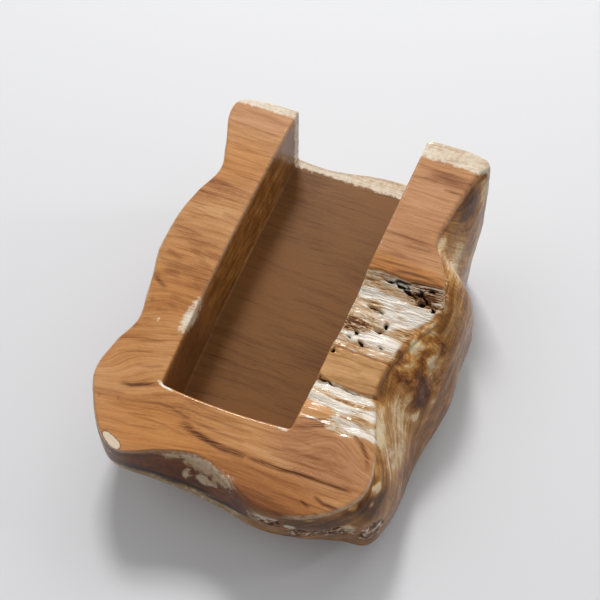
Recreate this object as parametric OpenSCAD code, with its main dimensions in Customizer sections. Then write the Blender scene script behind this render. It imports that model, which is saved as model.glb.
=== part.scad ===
// Bottle coaster carved from one thick piece of root wood.
// The planed face slopes up to the rear, and a straight slot in it cradles a bottle, neck up.
// The outside is the live edge of the root, lofted through four outlines: sole, belly, shoulder and crown.

/* [Block] */
// Width of the block at its widest, across the slot
block_w = 204; // [185:1:240]
// Length of the block along the slot, measured level
block_len = 256; // [235:1:300]
// Height of the planed face above the table at the near wall of the slot
face_h = 78; // [70:1:95]
// Slope of the planed face, rising to the rear, in degrees
face_tilt = 11; // [7:1:14]
// Distance from the left edge of the block to the middle of the slot
slot_from_left = 87; // [80:1:100]
// Wood left in front of the slot, from the front edge to its near wall
front_wall = 50; // [40:1:60]

/* [Slot] */
// Width of the slot at its near wall
slot_w = 81; // [76:1:90]
// Width of the slot at the open rear end
slot_rear_w = 86; // [78:1:94]
// Depth of the slot, square to the planed face
slot_depth = 46; // [30:1:50]
// How far the hand-cut left wall of the slot bows outwards at its middle
slot_bow = 3; // [0:0.5:5]
// How far the near wall is out of square, over the width of the slot
near_wall_skew = 6; // [0:1:10]

/* [Edges] */
// Drop of the sawn bevel along the front, below the planed face
bevel_drop = 20; // [10:1:26]
// Radius of the sanded edge round the planed face
edge_r = 3; // [1:0.5:5]
// Depth of the weathered hollow in the right arm
hollow_depth = 10; // [0:1:14]
// Depth of the flutes in the live edge
flute_depth = 2; // [0:0.1:4]

/* [Foot pads] */
// Diameter of a felt pad
pad_d = 22; // [12:1:30]
// Thickness of a felt pad
pad_t = 3; // [1:0.5:5]
// Chamfer round the lower rim of a felt pad
pad_chamfer = 0.5; // [0.2:0.1:0.8]

/* [Hidden] */

// Overrun of every cut past the surface that it opens
overrun = 20;
// Samples along each span between two outline points, and along the spans beside the hollow
span_steps = 4;
hollow_steps = 9;
hollow_spans = [25, 30];
// Rings of the loft: sole to belly, belly to shoulder, shoulder to crown, crown to core
under_rings = 5;
side_rings = 10;
edge_rings = 3;
face_rings = 10;

// Crown: where the planed face ends, as shares of width from the left and of length from the front.
// It runs across the rear, down the left side, along the front and up the right side.
crown_shares = [
    [0.742, 1.000], [0.525, 0.985], [0.327, 0.960], [0.122, 0.949], [0.021, 0.932],
    [0.010, 0.880], [0.049, 0.801], [0.077, 0.730], [0.044, 0.653], [0.028, 0.570],
    [0.031, 0.477], [0.057, 0.390], [0.080, 0.312], [0.053, 0.234], [0.038, 0.160],
    [0.079, 0.087], [0.142, 0.031], [0.211, 0.016], [0.319, 0.055], [0.426, 0.078],
    [0.544, 0.051], [0.623, 0.020], [0.721, 0.043], [0.814, 0.090], [0.868, 0.148],
    [0.863, 0.211], [0.819, 0.297], [0.789, 0.371], [0.799, 0.445], [0.833, 0.527],
    [0.870, 0.595], [0.831, 0.678], [0.781, 0.738], [0.783, 0.801], [0.807, 0.933],
    [0.831, 0.988]
];
// Belly: the widest line of the live edge at the same stations, with its height as a share of face_h
belly_shares = [
    [0.774, 0.998, 0.45], [0.526, 0.986, 0.45], [0.326, 0.956, 0.45], [0.115, 0.958, 0.50],
    [0.011, 0.941, 0.55], [-0.002, 0.888, 0.60], [0.026, 0.813, 0.60], [0.042, 0.737, 0.60],
    [0.028, 0.648, 0.58], [0.012, 0.570, 0.55], [0.015, 0.480, 0.55], [0.042, 0.395, 0.55],
    [0.059, 0.297, 0.55], [0.039, 0.233, 0.56], [0.025, 0.154, 0.58], [0.064, 0.089, 0.58],
    [0.118, 0.030, 0.58], [0.180, 0.007, 0.56], [0.301, 0.016, 0.54], [0.418, 0.022, 0.54],
    [0.520, 0.019, 0.54], [0.619, 0.013, 0.52], [0.737, 0.028, 0.50], [0.858, 0.067, 0.42],
    [0.941, 0.102, 0.33], [0.978, 0.200, 0.28], [0.977, 0.291, 0.26], [0.974, 0.366, 0.27],
    [0.993, 0.434, 0.30], [1.000, 0.514, 0.34], [0.991, 0.603, 0.38], [0.989, 0.723, 0.40],
    [0.938, 0.769, 0.40], [0.910, 0.838, 0.42], [0.900, 0.933, 0.45], [0.869, 0.992, 0.45]
];
// How straight the side falls from shoulder to belly at each station: 1 is flat, 0 is fully rounded
flat_shares = [
    0.9, 0.9, 0.9, 0.9, 0.8, 0.6, 0.5, 0.5, 0.5, 0.5, 0.5, 0.5, 0.5, 0.5, 0.6, 0.8, 0.9, 1,
    1, 1, 1, 0.9, 0.7, 0.5, 0.4, 0.4, 0.5, 0.6, 0.5, 0.3, 0.2, 0.3, 0.5, 0.4, 0.3, 0.3
];
// Where the sawn bevel runs along the front: share of bevel_drop at each station
bevel_shares = [
    0, 0, 0, 0, 0, 0, 0, 0, 0, 0, 0, 0, 0, 0, 0, 0.1, 0.5, 0.9,
    1, 1, 0.8, 0.3, 0.1, 0, 0, 0, 0, 0, 0, 0, 0, 0, 0, 0, 0, 0
];
// How live the edge is at each station: 0 is sawn, 1 is fully fluted
live_shares = [
    0, 0, 0, 0, 0.3, 0.8, 1, 1, 1, 1, 1, 1, 1, 1, 0.8, 0.5, 0.2, 0,
    0, 0, 0.2, 0.5, 0.9, 1, 1, 1, 1, 1, 1, 1, 1, 1, 1, 1, 1, 0.5
];
// The sole: shares of the belly outline's width and length that it keeps, and its gap behind the front edge
sole_w_share = 0.88;
sole_front_share = 0.175;
sole_rear_share = 0.975;
sole_middle_share = 0.50;
// The core: an outline inside the slot, where the loft of the face closes: half width, gaps to the near wall and rear
core_half_w = 30;
core_near = 9;
core_blend = 6;
core_rear = 11;
// Places of the felt pads, as shares of width and length
pad_shares = [[0.20, 0.30], [0.84, 0.30], [0.16, 0.86], [0.76, 0.88]];

// Flutes: waves between sole and crown, drift from one station to the next, and a second, weaker set
flute_waves = 2.2;
flute_drift = 0.11;
second_waves = 1.3;
second_drift = 0.37;
second_flute_share = 0.6;

// The weathered hollow: profile along the slot, as [share of length, share of hollow_depth]
hollow_shares = [
    [-0.10, 0], [0.230, 0], [0.250, 0.1], [0.260, 0.17], [0.273, 0.15], [0.293, 0.35],
    [0.312, 0.35], [0.338, 0.56], [0.345, 0.64], [0.352, 0.4], [0.367, 0.34], [0.418, 0.29],
    [0.427, 0.42], [0.434, 0.33], [0.443, 0.6], [0.457, 0.76], [0.508, 0.94], [0.539, 1],
    [0.566, 0.92], [0.586, 0.8], [0.602, 0.6], [0.613, 0.46], [0.628, 0.32], [0.635, 0], [1.01, 0]
];

// Where the hollow begins and how wide its fade is, both inside the slot, and where its profile is read
hollow_start = 30;
hollow_fade = 6;
hollow_middle = [0.72, 0.43];
// How far its steps run askew, and the lump in it: middle, half sizes, share of hollow_depth
hollow_skew = 0.09;
lump_middle = [0.667, 0.516];
lump_w = 11;
lump_len = 9.5;
lump_share = 0.34;

slope = tan(face_tilt);
stations = len(crown_shares);

// Value of a closed list of stations at place t, on a smooth curve through its points
function at(list, i) = list[(i + stations) % stations];
function smooth(list, t) =
    let (i = floor(t), f = t - i, a = at(list, i - 1), b = at(list, i), c = at(list, i + 1), d = at(list, i + 2))
    b + f / 2 * ((c - a) + f * (2 * a - 5 * b + 4 * c - d + f * (3 * b - a - 3 * c + d)));
// Smooth step from 0 to 1
function ease(t) = let (c = min(1, max(0, t))) c * c * (3 - 2 * c);
// Height of the planed face over a place along the block
function face_z(y) = face_h + y * slope;
// Place on the table of a pair of shares
function place(p) = [p[0] * block_w - slot_from_left, p[1] * block_len - front_wall];

// Depth of the hollow below the planed face at a place
function hollow_at(share) =
    let (k = max([for (i = [0:len(hollow_shares) - 2]) if (hollow_shares[i][0] <= share) i]),
         a = hollow_shares[k], b = hollow_shares[k + 1])
    a[1] + (b[1] - a[1]) * ease((share - a[0]) / (b[0] - a[0]));
// The hollow's steps run a little askew, and a lump of sound wood stands in it
function hollow(x, y) =
    let (c = place(hollow_middle), skewed = y - hollow_skew * (x - c[0]), l = place(lump_middle),
         lump = ease(1.25 - norm([(x - l[0]) / lump_w, (y - l[1]) / lump_len])),
         depth = hollow_at((skewed + front_wall) / block_len) - lump_share * lump)
    hollow_depth * max(0, depth) * ease((x - hollow_start) / hollow_fade);

// The four outlines at station t
function crown(t) = place(smooth(crown_shares, t));
function belly(t) = let (b = smooth(belly_shares, t)) concat(place(b), [b[2] * face_h]);
function sole(t) =
    let (b = smooth(belly_shares, t),
         w = sole_middle_share + (b[0] - sole_middle_share) * sole_w_share,
         l = sole_front_share + b[1] * (sole_rear_share - sole_front_share))
    concat(place([w, l]), [pad_t]);
function shoulder(t) =
    let (c = crown(t), b = belly(t), drop = edge_r + bevel_drop * max(0, smooth(bevel_shares, t)),
         out = [b[0] - c[0], b[1] - c[1]], far = max(norm(out), edge_r / 4),
         reach = min(far, edge_r + (far - edge_r) * max(0, smooth(bevel_shares, t))),
         z = face_z(c[1]) - hollow(c[0], c[1]))
    [c[0] + out[0] / far * reach, c[1] + out[1] / far * reach, z - drop];

// Flutes are scooped out of the live edge and wander as they go round
function flute(t, v) =
    let (first = sin(360 * (flute_waves * v + flute_drift * t)) - 1,
         second = sin(360 * (second_drift * t - second_waves * v)) - 1)
    flute_depth * max(0, smooth(live_shares, t)) * sin(180 * v) * (first + second_flute_share * second) / 2;
// Unit vector pointing out of the block at a place
function outward(p) =
    let (d = [p[0], p[1] - min(max(p[1], front_wall), block_len - 2 * front_wall)]) d / max(norm(d), edge_r);

// How far the underside is undercut straight at a place: 1 at the front edge, 0 from the slot backwards
function undercut(y) = ease(-y / front_wall);

function under_point(t, v) =
    let (s = sole(t), b = belly(t), flat = undercut(b[1]),
         out = flat * v + (1 - flat) * sin(90 * v), up = flat * v + (1 - flat) * (1 - cos(90 * v)),
         o = outward(b) * flute(t, v / 2) * v)
    [s[0] + (b[0] - s[0]) * out + o[0], s[1] + (b[1] - s[1]) * out + o[1], s[2] + (b[2] - s[2]) * up];
function side_point(t, v) =
    let (b = belly(t), s = shoulder(t), flat = smooth(flat_shares, t),
         out = flat * (1 - v) + (1 - flat) * cos(90 * v), up = flat * v + (1 - flat) * sin(90 * v),
         o = outward(b) * flute(t, 0.5 + v / 2) * (1 - v))
    [s[0] + (b[0] - s[0]) * out + o[0], s[1] + (b[1] - s[1]) * out + o[1], b[2] + (s[2] - b[2]) * up];
function edge_point(t, v) =
    let (s = shoulder(t), c = crown(t), bevel = max(0, smooth(bevel_shares, t)),
         out = bevel * (1 - v) + (1 - bevel) * cos(90 * v), up = bevel * v + (1 - bevel) * sin(90 * v),
         z = face_z(c[1]) - hollow(c[0], c[1]))
    [c[0] + (s[0] - c[0]) * out, c[1] + (s[1] - c[1]) * out, s[2] + (z - s[2]) * up];
function core(c) = [
    core_half_w * c[0] / norm([c[0], core_half_w]),
    min(core_near + core_blend * ln(1 + exp((c[1] - core_near) / core_blend)), block_len - front_wall - core_rear)
];
function face_point(t, v) =
    let (a = crown(t), k = core(a), x = a[0] + (k[0] - a[0]) * v, y = a[1] + (k[1] - a[1]) * v)
    [x, y, face_z(y) - hollow(x, y)];

steps = [
    for (i = [0:stations - 1])
        let (n = i >= hollow_spans[0] && i <= hollow_spans[1] ? hollow_steps : span_steps)
        for (j = [0:n - 1]) i + j / n
];
around = len(steps);
rings = [
    for (i = [0:under_rings - 1]) [for (t = steps) under_point(t, i / under_rings)],
    for (i = [0:side_rings - 1]) [for (t = steps) side_point(t, i / side_rings)],
    for (i = [0:edge_rings - 1]) [for (t = steps) edge_point(t, i / edge_rings)],
    for (i = [0:face_rings]) [for (t = steps) face_point(t, i / face_rings)]
];
shell_points = [for (ring = rings) each ring];
// The origin lies on the table under the middle of the block's outline
xs = [for (p = shell_points) p[0]];
ys = [for (p = shell_points) p[1]];
middle = [(min(xs) + max(xs)) / 2, (min(ys) + max(ys)) / 2];

module root_shell() {
    last = len(rings) - 1;
    sides = [
        for (i = [0:last - 1], j = [0:around - 1])
            let (a = i * around + j, b = i * around + (j + 1) % around)
            each [[a, a + around, b], [b, a + around, b + around]]
    ];
    under = [for (j = [0:around - 1]) j];
    top = [for (j = [0:around - 1]) last * around + around - 1 - j];
    polyhedron(shell_points, concat([under], sides, [top]));
}

// Cut for the bottle: a near wall with a slight curve, a bowed left wall and an open rear end
module slot_cut() {
    run = block_len - front_wall + overrun;
    near_steps = 8;
    wall_steps = 10;
    near_curve = slot_w / 40;
    function half_w(y) = (slot_w + (slot_rear_w - slot_w) * y / (block_len - front_wall)) / 2;
    near = [
        for (i = [0:near_steps])
            let (f = i / near_steps - 0.5)
            [f * slot_w, f * near_wall_skew - near_curve * (1 - 4 * f * f)]
    ];
    right = [[half_w(run), run]];
    left = [
        for (i = [wall_steps:-1:1])
            let (y = run * i / wall_steps)
            [-half_w(y) - slot_bow * sin(180 * min(1, i / wall_steps)), y]
    ];
    translate([0, 0, face_h])
        rotate([face_tilt, 0, 0])
            translate([0, 0, -slot_depth])
                linear_extrude(slot_depth + overrun)
                    polygon(concat(near, right, left));
}

// One felt pad under the sole
module pad(i) {
    translate(place(pad_shares[i]) - middle)
        color("dimgray")
            rotate_extrude($fn = 48)
                polygon([
                    [0, 0], [pad_d / 2 - pad_chamfer, 0], [pad_d / 2, pad_chamfer],
                    [pad_d / 2, pad_t], [0, pad_t]
                ]);
}

module root_block() {
    color("peru")
        translate(-middle)
            difference() {
                root_shell();
                slot_cut();
            }
}
module pad_front_left() { pad(0); }
module pad_front_right() { pad(1); }
module pad_rear_left() { pad(2); }
module pad_rear_right() { pad(3); }

root_block();
pad_front_left();
pad_front_right();
pad_rear_left();
pad_rear_right();
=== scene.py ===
# Bottle coaster carved from one thick piece of root wood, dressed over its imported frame.
# The shell is a loft through four outlines, like the solid, with the slot cut out of it.

import math
from types import SimpleNamespace

import bpy
import numpy as np
from bpy.props import FloatProperty, FloatVectorProperty, PointerProperty
from mathutils import Matrix, Vector


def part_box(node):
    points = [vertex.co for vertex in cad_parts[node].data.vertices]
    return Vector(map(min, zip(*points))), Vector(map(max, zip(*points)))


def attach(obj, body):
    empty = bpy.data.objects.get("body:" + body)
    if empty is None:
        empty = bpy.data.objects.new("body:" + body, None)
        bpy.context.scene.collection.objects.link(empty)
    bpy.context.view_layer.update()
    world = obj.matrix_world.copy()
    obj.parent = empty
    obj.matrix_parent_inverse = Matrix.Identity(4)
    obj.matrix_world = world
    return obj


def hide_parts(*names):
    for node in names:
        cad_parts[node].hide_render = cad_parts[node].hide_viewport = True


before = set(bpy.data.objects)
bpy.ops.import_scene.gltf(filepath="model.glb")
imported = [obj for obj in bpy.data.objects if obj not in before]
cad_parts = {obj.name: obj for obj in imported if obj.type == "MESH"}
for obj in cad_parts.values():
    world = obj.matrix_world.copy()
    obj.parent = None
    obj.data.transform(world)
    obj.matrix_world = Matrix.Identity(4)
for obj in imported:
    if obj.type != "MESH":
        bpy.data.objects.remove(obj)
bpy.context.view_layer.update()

bl_info = {
    "name": "Root-wood bottle coaster",
    "version": (1, 0, 0),
    "blender": (4, 5, 0),
    "location": "3D View > Sidebar > Coaster",
    "description": "Builds a live-edge root-wood bottle cradle, its felt pads and a plain studio",
    "category": "Add Mesh",
}

# Crown, where the planed face ends: shares of the width from the left and of the length from the front
CROWN = np.array([
    (0.742, 1), (0.525, 0.985), (0.327, 0.96), (0.122, 0.949), (0.021, 0.932), (0.01, 0.88),
    (0.049, 0.801), (0.077, 0.73), (0.044, 0.653), (0.028, 0.57), (0.031, 0.477), (0.057, 0.39),
    (0.08, 0.312), (0.053, 0.234), (0.038, 0.16), (0.079, 0.087), (0.142, 0.031), (0.211, 0.016),
    (0.319, 0.055), (0.426, 0.078), (0.544, 0.051), (0.623, 0.035), (0.721, 0.047), (0.814, 0.09),
    (0.868, 0.148), (0.863, 0.211), (0.819, 0.297), (0.789, 0.371), (0.799, 0.445), (0.833, 0.527),
    (0.87, 0.595), (0.831, 0.678), (0.781, 0.738), (0.783, 0.801), (0.807, 0.933), (0.831, 0.988),
])
# Belly, the widest line of the live edge, with its height as a share of the face's height
BELLY = np.array([
    (0.774, 0.998, 0.45), (0.526, 0.986, 0.45), (0.326, 0.956, 0.45), (0.115, 0.958, 0.5),
    (0.011, 0.941, 0.55), (-0.002, 0.888, 0.6), (0.026, 0.813, 0.6), (0.042, 0.737, 0.6),
    (0.028, 0.648, 0.58), (0.012, 0.57, 0.55), (0.015, 0.48, 0.55), (0.042, 0.395, 0.55),
    (0.059, 0.297, 0.55), (0.039, 0.233, 0.56), (0.025, 0.154, 0.58), (0.064, 0.089, 0.58),
    (0.118, 0.03, 0.58), (0.18, 0.007, 0.56), (0.301, 0.016, 0.54), (0.418, 0.022, 0.54),
    (0.52, 0.019, 0.54), (0.619, 0.013, 0.52), (0.737, 0.028, 0.5), (0.858, 0.067, 0.42),
    (0.941, 0.102, 0.33), (0.978, 0.2, 0.28), (0.977, 0.291, 0.26), (0.974, 0.366, 0.27),
    (0.993, 0.434, 0.3), (1, 0.514, 0.34), (0.991, 0.603, 0.38), (0.989, 0.723, 0.4), (0.938, 0.769, 0.4),
    (0.91, 0.838, 0.42), (0.9, 0.933, 0.45), (0.869, 0.992, 0.45),
])
# How straight the side falls at each station, where the sawn bevel runs, and how live the edge is
FLAT = np.array([
    0.9, 0.9, 0.9, 0.9, 0.8, 0.6, 0.5, 0.5, 0.5, 0.5, 0.5, 0.5, 0.5, 0.5, 0.6, 0.8, 0.9, 1,
    1, 1, 1, 0.9, 0.7, 0.5, 0.4, 0.4, 0.5, 0.6, 0.5, 0.3, 0.2, 0.3, 0.5, 0.4, 0.3, 0.3,
])[:, None]
BEVEL = np.array([
    0, 0, 0, 0, 0, 0, 0, 0, 0, 0, 0, 0, 0, 0, 0, 0.1, 0.5, 0.9,
    1, 1, 0.8, 0.3, 0.1, 0, 0, 0, 0, 0, 0, 0, 0, 0, 0, 0, 0, 0,
])[:, None]
LIVE = np.array([
    0, 0, 0, 0, 0.3, 0.8, 1, 1, 1, 1, 1, 1, 1, 1, 0.8, 0.5, 0.2, 0,
    0, 0, 0.2, 0.5, 0.9, 1, 1, 1, 1, 1, 1, 1, 1, 1, 1, 1, 1, 0.5,
])[:, None]

# Sole of the block, as shares of the belly outline
SOLE_WIDTH, SOLE_FRONT, SOLE_REAR, SOLE_MIDDLE = 0.88, 0.175, 0.975, 0.50
# Flutes of the live edge: waves up the side and drift round it, for the strong and the weak set
FLUTE_WAVES, FLUTE_DRIFT, SECOND_WAVES, SECOND_DRIFT, SECOND_SHARE = 2.2, 0.11, 1.3, 0.37, 0.6
# Grid of the shell: columns to a station, and rows across the sole and on to belly, shoulder, crown and core
COLUMNS = [10] * 20 + [22] * 5 + [46] * 6 + [12] * 5
SOLE_ROWS, UNDER_ROWS, SIDE_ROWS, EDGE_ROWS, FACE_ROWS = 7, 8, 40, 9, 52

# Weathered hollow: place along the slot in millimetres, and depth below the planed face in millimetres
WORN_PROFILE = np.array([
    (-60, 0), (9, 0), (14, 1), (16.5, 1.7), (20, 1.5), (24, 3), (26, 3.7), (30, 3.5), (34, 5),
    (36.5, 5.6), (38.2, 6.4), (39.4, 4.2), (42, 3.5), (50, 3.3), (57, 2.9), (58.6, 3), (59.4, 4.4),
    (60.4, 3.2), (62.2, 3.4), (63.5, 6), (66, 7.5), (72, 8.3), (80, 9.4), (88, 10), (95, 9.2), (100, 8),
    (104, 5.8), (107, 4), (109.6, 2.6), (111.2, 1.5), (112, 0), (300, 0),
])
# How white and fibrous the surface is along the same profile, the white partly painted sheen on the flutes,
# and how black
FIBRE_PROFILE = np.array([
    (-60, 0), (8.5, 0), (11.5, 0.8), (19, 0.9), (21, 0.35), (23, 0.6), (24.5, 1), (29, 1), (31, 0.5),
    (33, 0.75), (36.5, 0.9), (38.5, 0.4), (40, 0.05), (57, 0.05), (60, 0.25), (63, 0.45), (65, 0.9),
    (76, 0.85), (90, 1), (101, 1), (105, 0.75), (108, 0.95), (110.4, 0.8), (111.6, 0), (300, 0),
])
# The black paints cracks, and painted shadow under the ledge's steps
BLACK_PROFILE = np.array([
    (-60, 0), (30, 0), (36.6, 0.1), (38, 0.5), (39.4, 0.42), (40.6, 0), (57.6, 0), (59.2, 0.55),
    (60.6, 0), (61.8, 0), (63.6, 0.3), (65.5, 0), (103, 0), (105.5, 0.25), (108, 0), (109.2, 0.2),
    (110.2, 0.8), (111.4, 0.35), (112.4, 0), (300, 0),
])
# Bleached patches of the hollow, whose white also paints the sheen on the fibres: centre, half sizes in
# millimetres, turn in degrees, whiteness
BLEACHED_AND_SHEEN = np.array([
    (55, 27.2, 19, 3.8, 0, 1), (58, 35.6, 22, 3.8, 0, 1), (72, 17.4, 18, 3.8, -10, 1),
    (80, 28, 7, 5, 0, 0.8), (55, 99, 18, 4, 2, 1), (80, 96, 10, 6.5, 20, 1), (66, 73, 17, 7.5, 0, 1),
    (76, 90, 15, 3, 38, 1), (65, 92, 6, 5, 0, 0.75), (50, 70, 9, 4, 0, 0.9), (64, 109, 12, 2, 3, 0.9),
    (50, 54.5, 7, 1.6, 0, 0.8), (46, 104, 8, 2, 0, 0.6), (84, 84, 5, 8, 0, 0.8),
])
# Insect holes and rotted pits: place, half length, half width and depth in millimetres, turn in degrees
PITS = np.array([
    (66, 84, 1.1, 2.2, 4, 20), (63.5, 79.6, 3.2, 1.2, 4.5, 14), (50.5, 72.6, 1.8, 0.9, 3, 20),
    (47.5, 69, 2, 0.9, 3, -20), (56, 67.6, 2.2, 0.8, 2.5, -20), (68, 69.5, 1.7, 0.9, 3, -10),
    (44, 56, 1.4, 2, 3.5, 10), (62, 108.6, 10, 0.9, 3.5, -2), (71, 106.4, 5, 0.8, 3.5, -14),
    (56, 91.6, 6, 0.8, 3.5, -4), (76.5, 108.5, 2.6, 1.3, 4, 30), (82.5, 107, 3.6, 1, 4.5, -30),
    (80, 104, 3, 0.8, 3, 10), (83, 111, 3, 0.8, 2.5, 10), (87, 103, 1.6, 1.2, 3, 0),
    # The last two run along the foot of the ledge, and their black also paints the shadow under it
    (48, 38.4, 6.5, 0.55, 3, -2), (63, 37.8, 6, 0.35, 1.5, -4),
])
# Patches of sapwood: centre and half sizes in millimetres, turn in degrees. The first three lie on the slot's
# rim and paint light there: a reflection along the left rim and glints at the two near corners
SAPWOOD_AND_GLINTS = np.array([
    (-44, 41, 85, 4.6, 15, 10, -4), (-38, -3, 77, 7, 1.4, 4, -12), (36.5, 1.2, 78, 4, 1.1, 3, 5),
    (2, -34, 67, 15, 5, 6.5, 4), (16, -35, 66, 13, 5, 7, -12), (-16, -37, 67, 8, 3, 3, 12),
    (5, -39, 59, 6, 6, 4, -8), (-6, -40, 57.5, 3.4, 5, 3.6, 0), (11, -39.5, 60.5, 4, 5, 2.4, 0),
    (-53, -49, 60, 3, 4, 3, 0), (-13, -46, 49.5, 7, 3, 1.3, 0), (17, -46, 52.5, 6, 3, 1.2, 0),
    (-61, 31, 84, 1.3, 1.5, 2, 0), (46, -45.5, 60.5, 13, 5, 3.6, 3), (61, -42.5, 56.5, 4, 4, 3.4, 0),
    (100, -23.6, 42, 4, 3, 3, 0),
])
# Shifts of the live edge's tone: centre and half sizes in millimetres, then how much paler
# The patch at (77, 141, 100), on the right arm's crest, paints the highlight there
SKIN_TONES = np.array([
    (92, 28, 60, 22, 38, 28, 0.2), (84, 20, 75, 7, 16, 9, 0.24), (80, 36, 76, 6, 9, 8, 0.22),
    (100, 20, 52, 8, 22, 14, 0.1), (86, 135, 88, 16, 30, 22, 0.12), (77, 141, 100, 6, 17, 10, 0.3),
    (85, 126, 92, 6, 20, 10, 0.16), (88, 154, 86, 6, 16, 12, 0.16), (83, 177, 103, 8, 14, 13, -0.24),
    (88, 194, 102, 5, 7, 18, 0.24), (74, -36, 62, 34, 14, 14, -0.24), (96, -12, 62, 12, 16, 12, -0.26),
    (88, -22, 69, 10, 8, 6, -0.16), (99, 62, 60, 13, 17, 13, -0.26), (87, 79, 80, 6, 7, 6, 0.3),
    (90, 93, 84, 6, 10, 8, 0.12), (88.5, -28.6, 54, 7, 8, 4.6, 0.46),
    (98, -13.4, 65, 3.4, 3.6, 3.2, 0.55), (97, -6.7, 69.5, 5, 7, 6, 0.46),
    (88.5, -20.8, 71, 4.6, 4, 3, 0.45), (69, -36.5, 68.6, 6, 3, 2.4, 0.36), (94, 55, 64, 4, 10, 5, 0.3),
    (100, 51, 54, 4, 9, 4.4, 0.32), (105, 67, 48, 4, 8, 3.2, 0.28), (97, 80, 71, 4, 7, 5, 0.26),
])
# Patches of tone on the planed face: centre, half sizes, then how much darker, more amber and more mauve
TONES = np.array([
    (-35, -30, 45, 16, 0.02, 0.9, 0), (-60, 20, 40, 40, 0, 0.35, 0), (-60, 60, 30, 28, 0.05, 0.45, 0),
    (-62, 145, 22, 16, 0, 0.7, 0), (-62, 182, 30, 12, -0.06, 0, 0.7), (60, 150, 34, 46, 0, 0, 0.75),
    (64, -4, 34, 17, 0.07, 0.1, 0.8), (36, -31, 40, 12, 0.07, 0.55, 0.35),
    # The patches at (42, -43) and (36, -38) darken the face towards its front edge: painted shade where it
    # rolls down to the bevel
    (-10, -10, 40, 12, 0.06, 0.45, 0.1), (42, -43, 24, 7, 0.18, 0.4, 0.2),
    (36, -38, 46, 15, 0.17, 0.6, 0), (62, 115, 34, 7, 0.08, 1, -0.6), (-72, 8, 18, 22, 0.06, 0.2, 0),
    (-58, 95, 30, 60, 0.05, 0, 0), (47, 19, 20, 7, -0.12, 0.4, -0.5), (-60, 100, 26, 14, -0.05, 0, 0.1),
    (54, 50, 26, 16, -0.04, 0.5, 0), (66, 182, 14, 4, 0.16, 0, 0.9),
])
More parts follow.
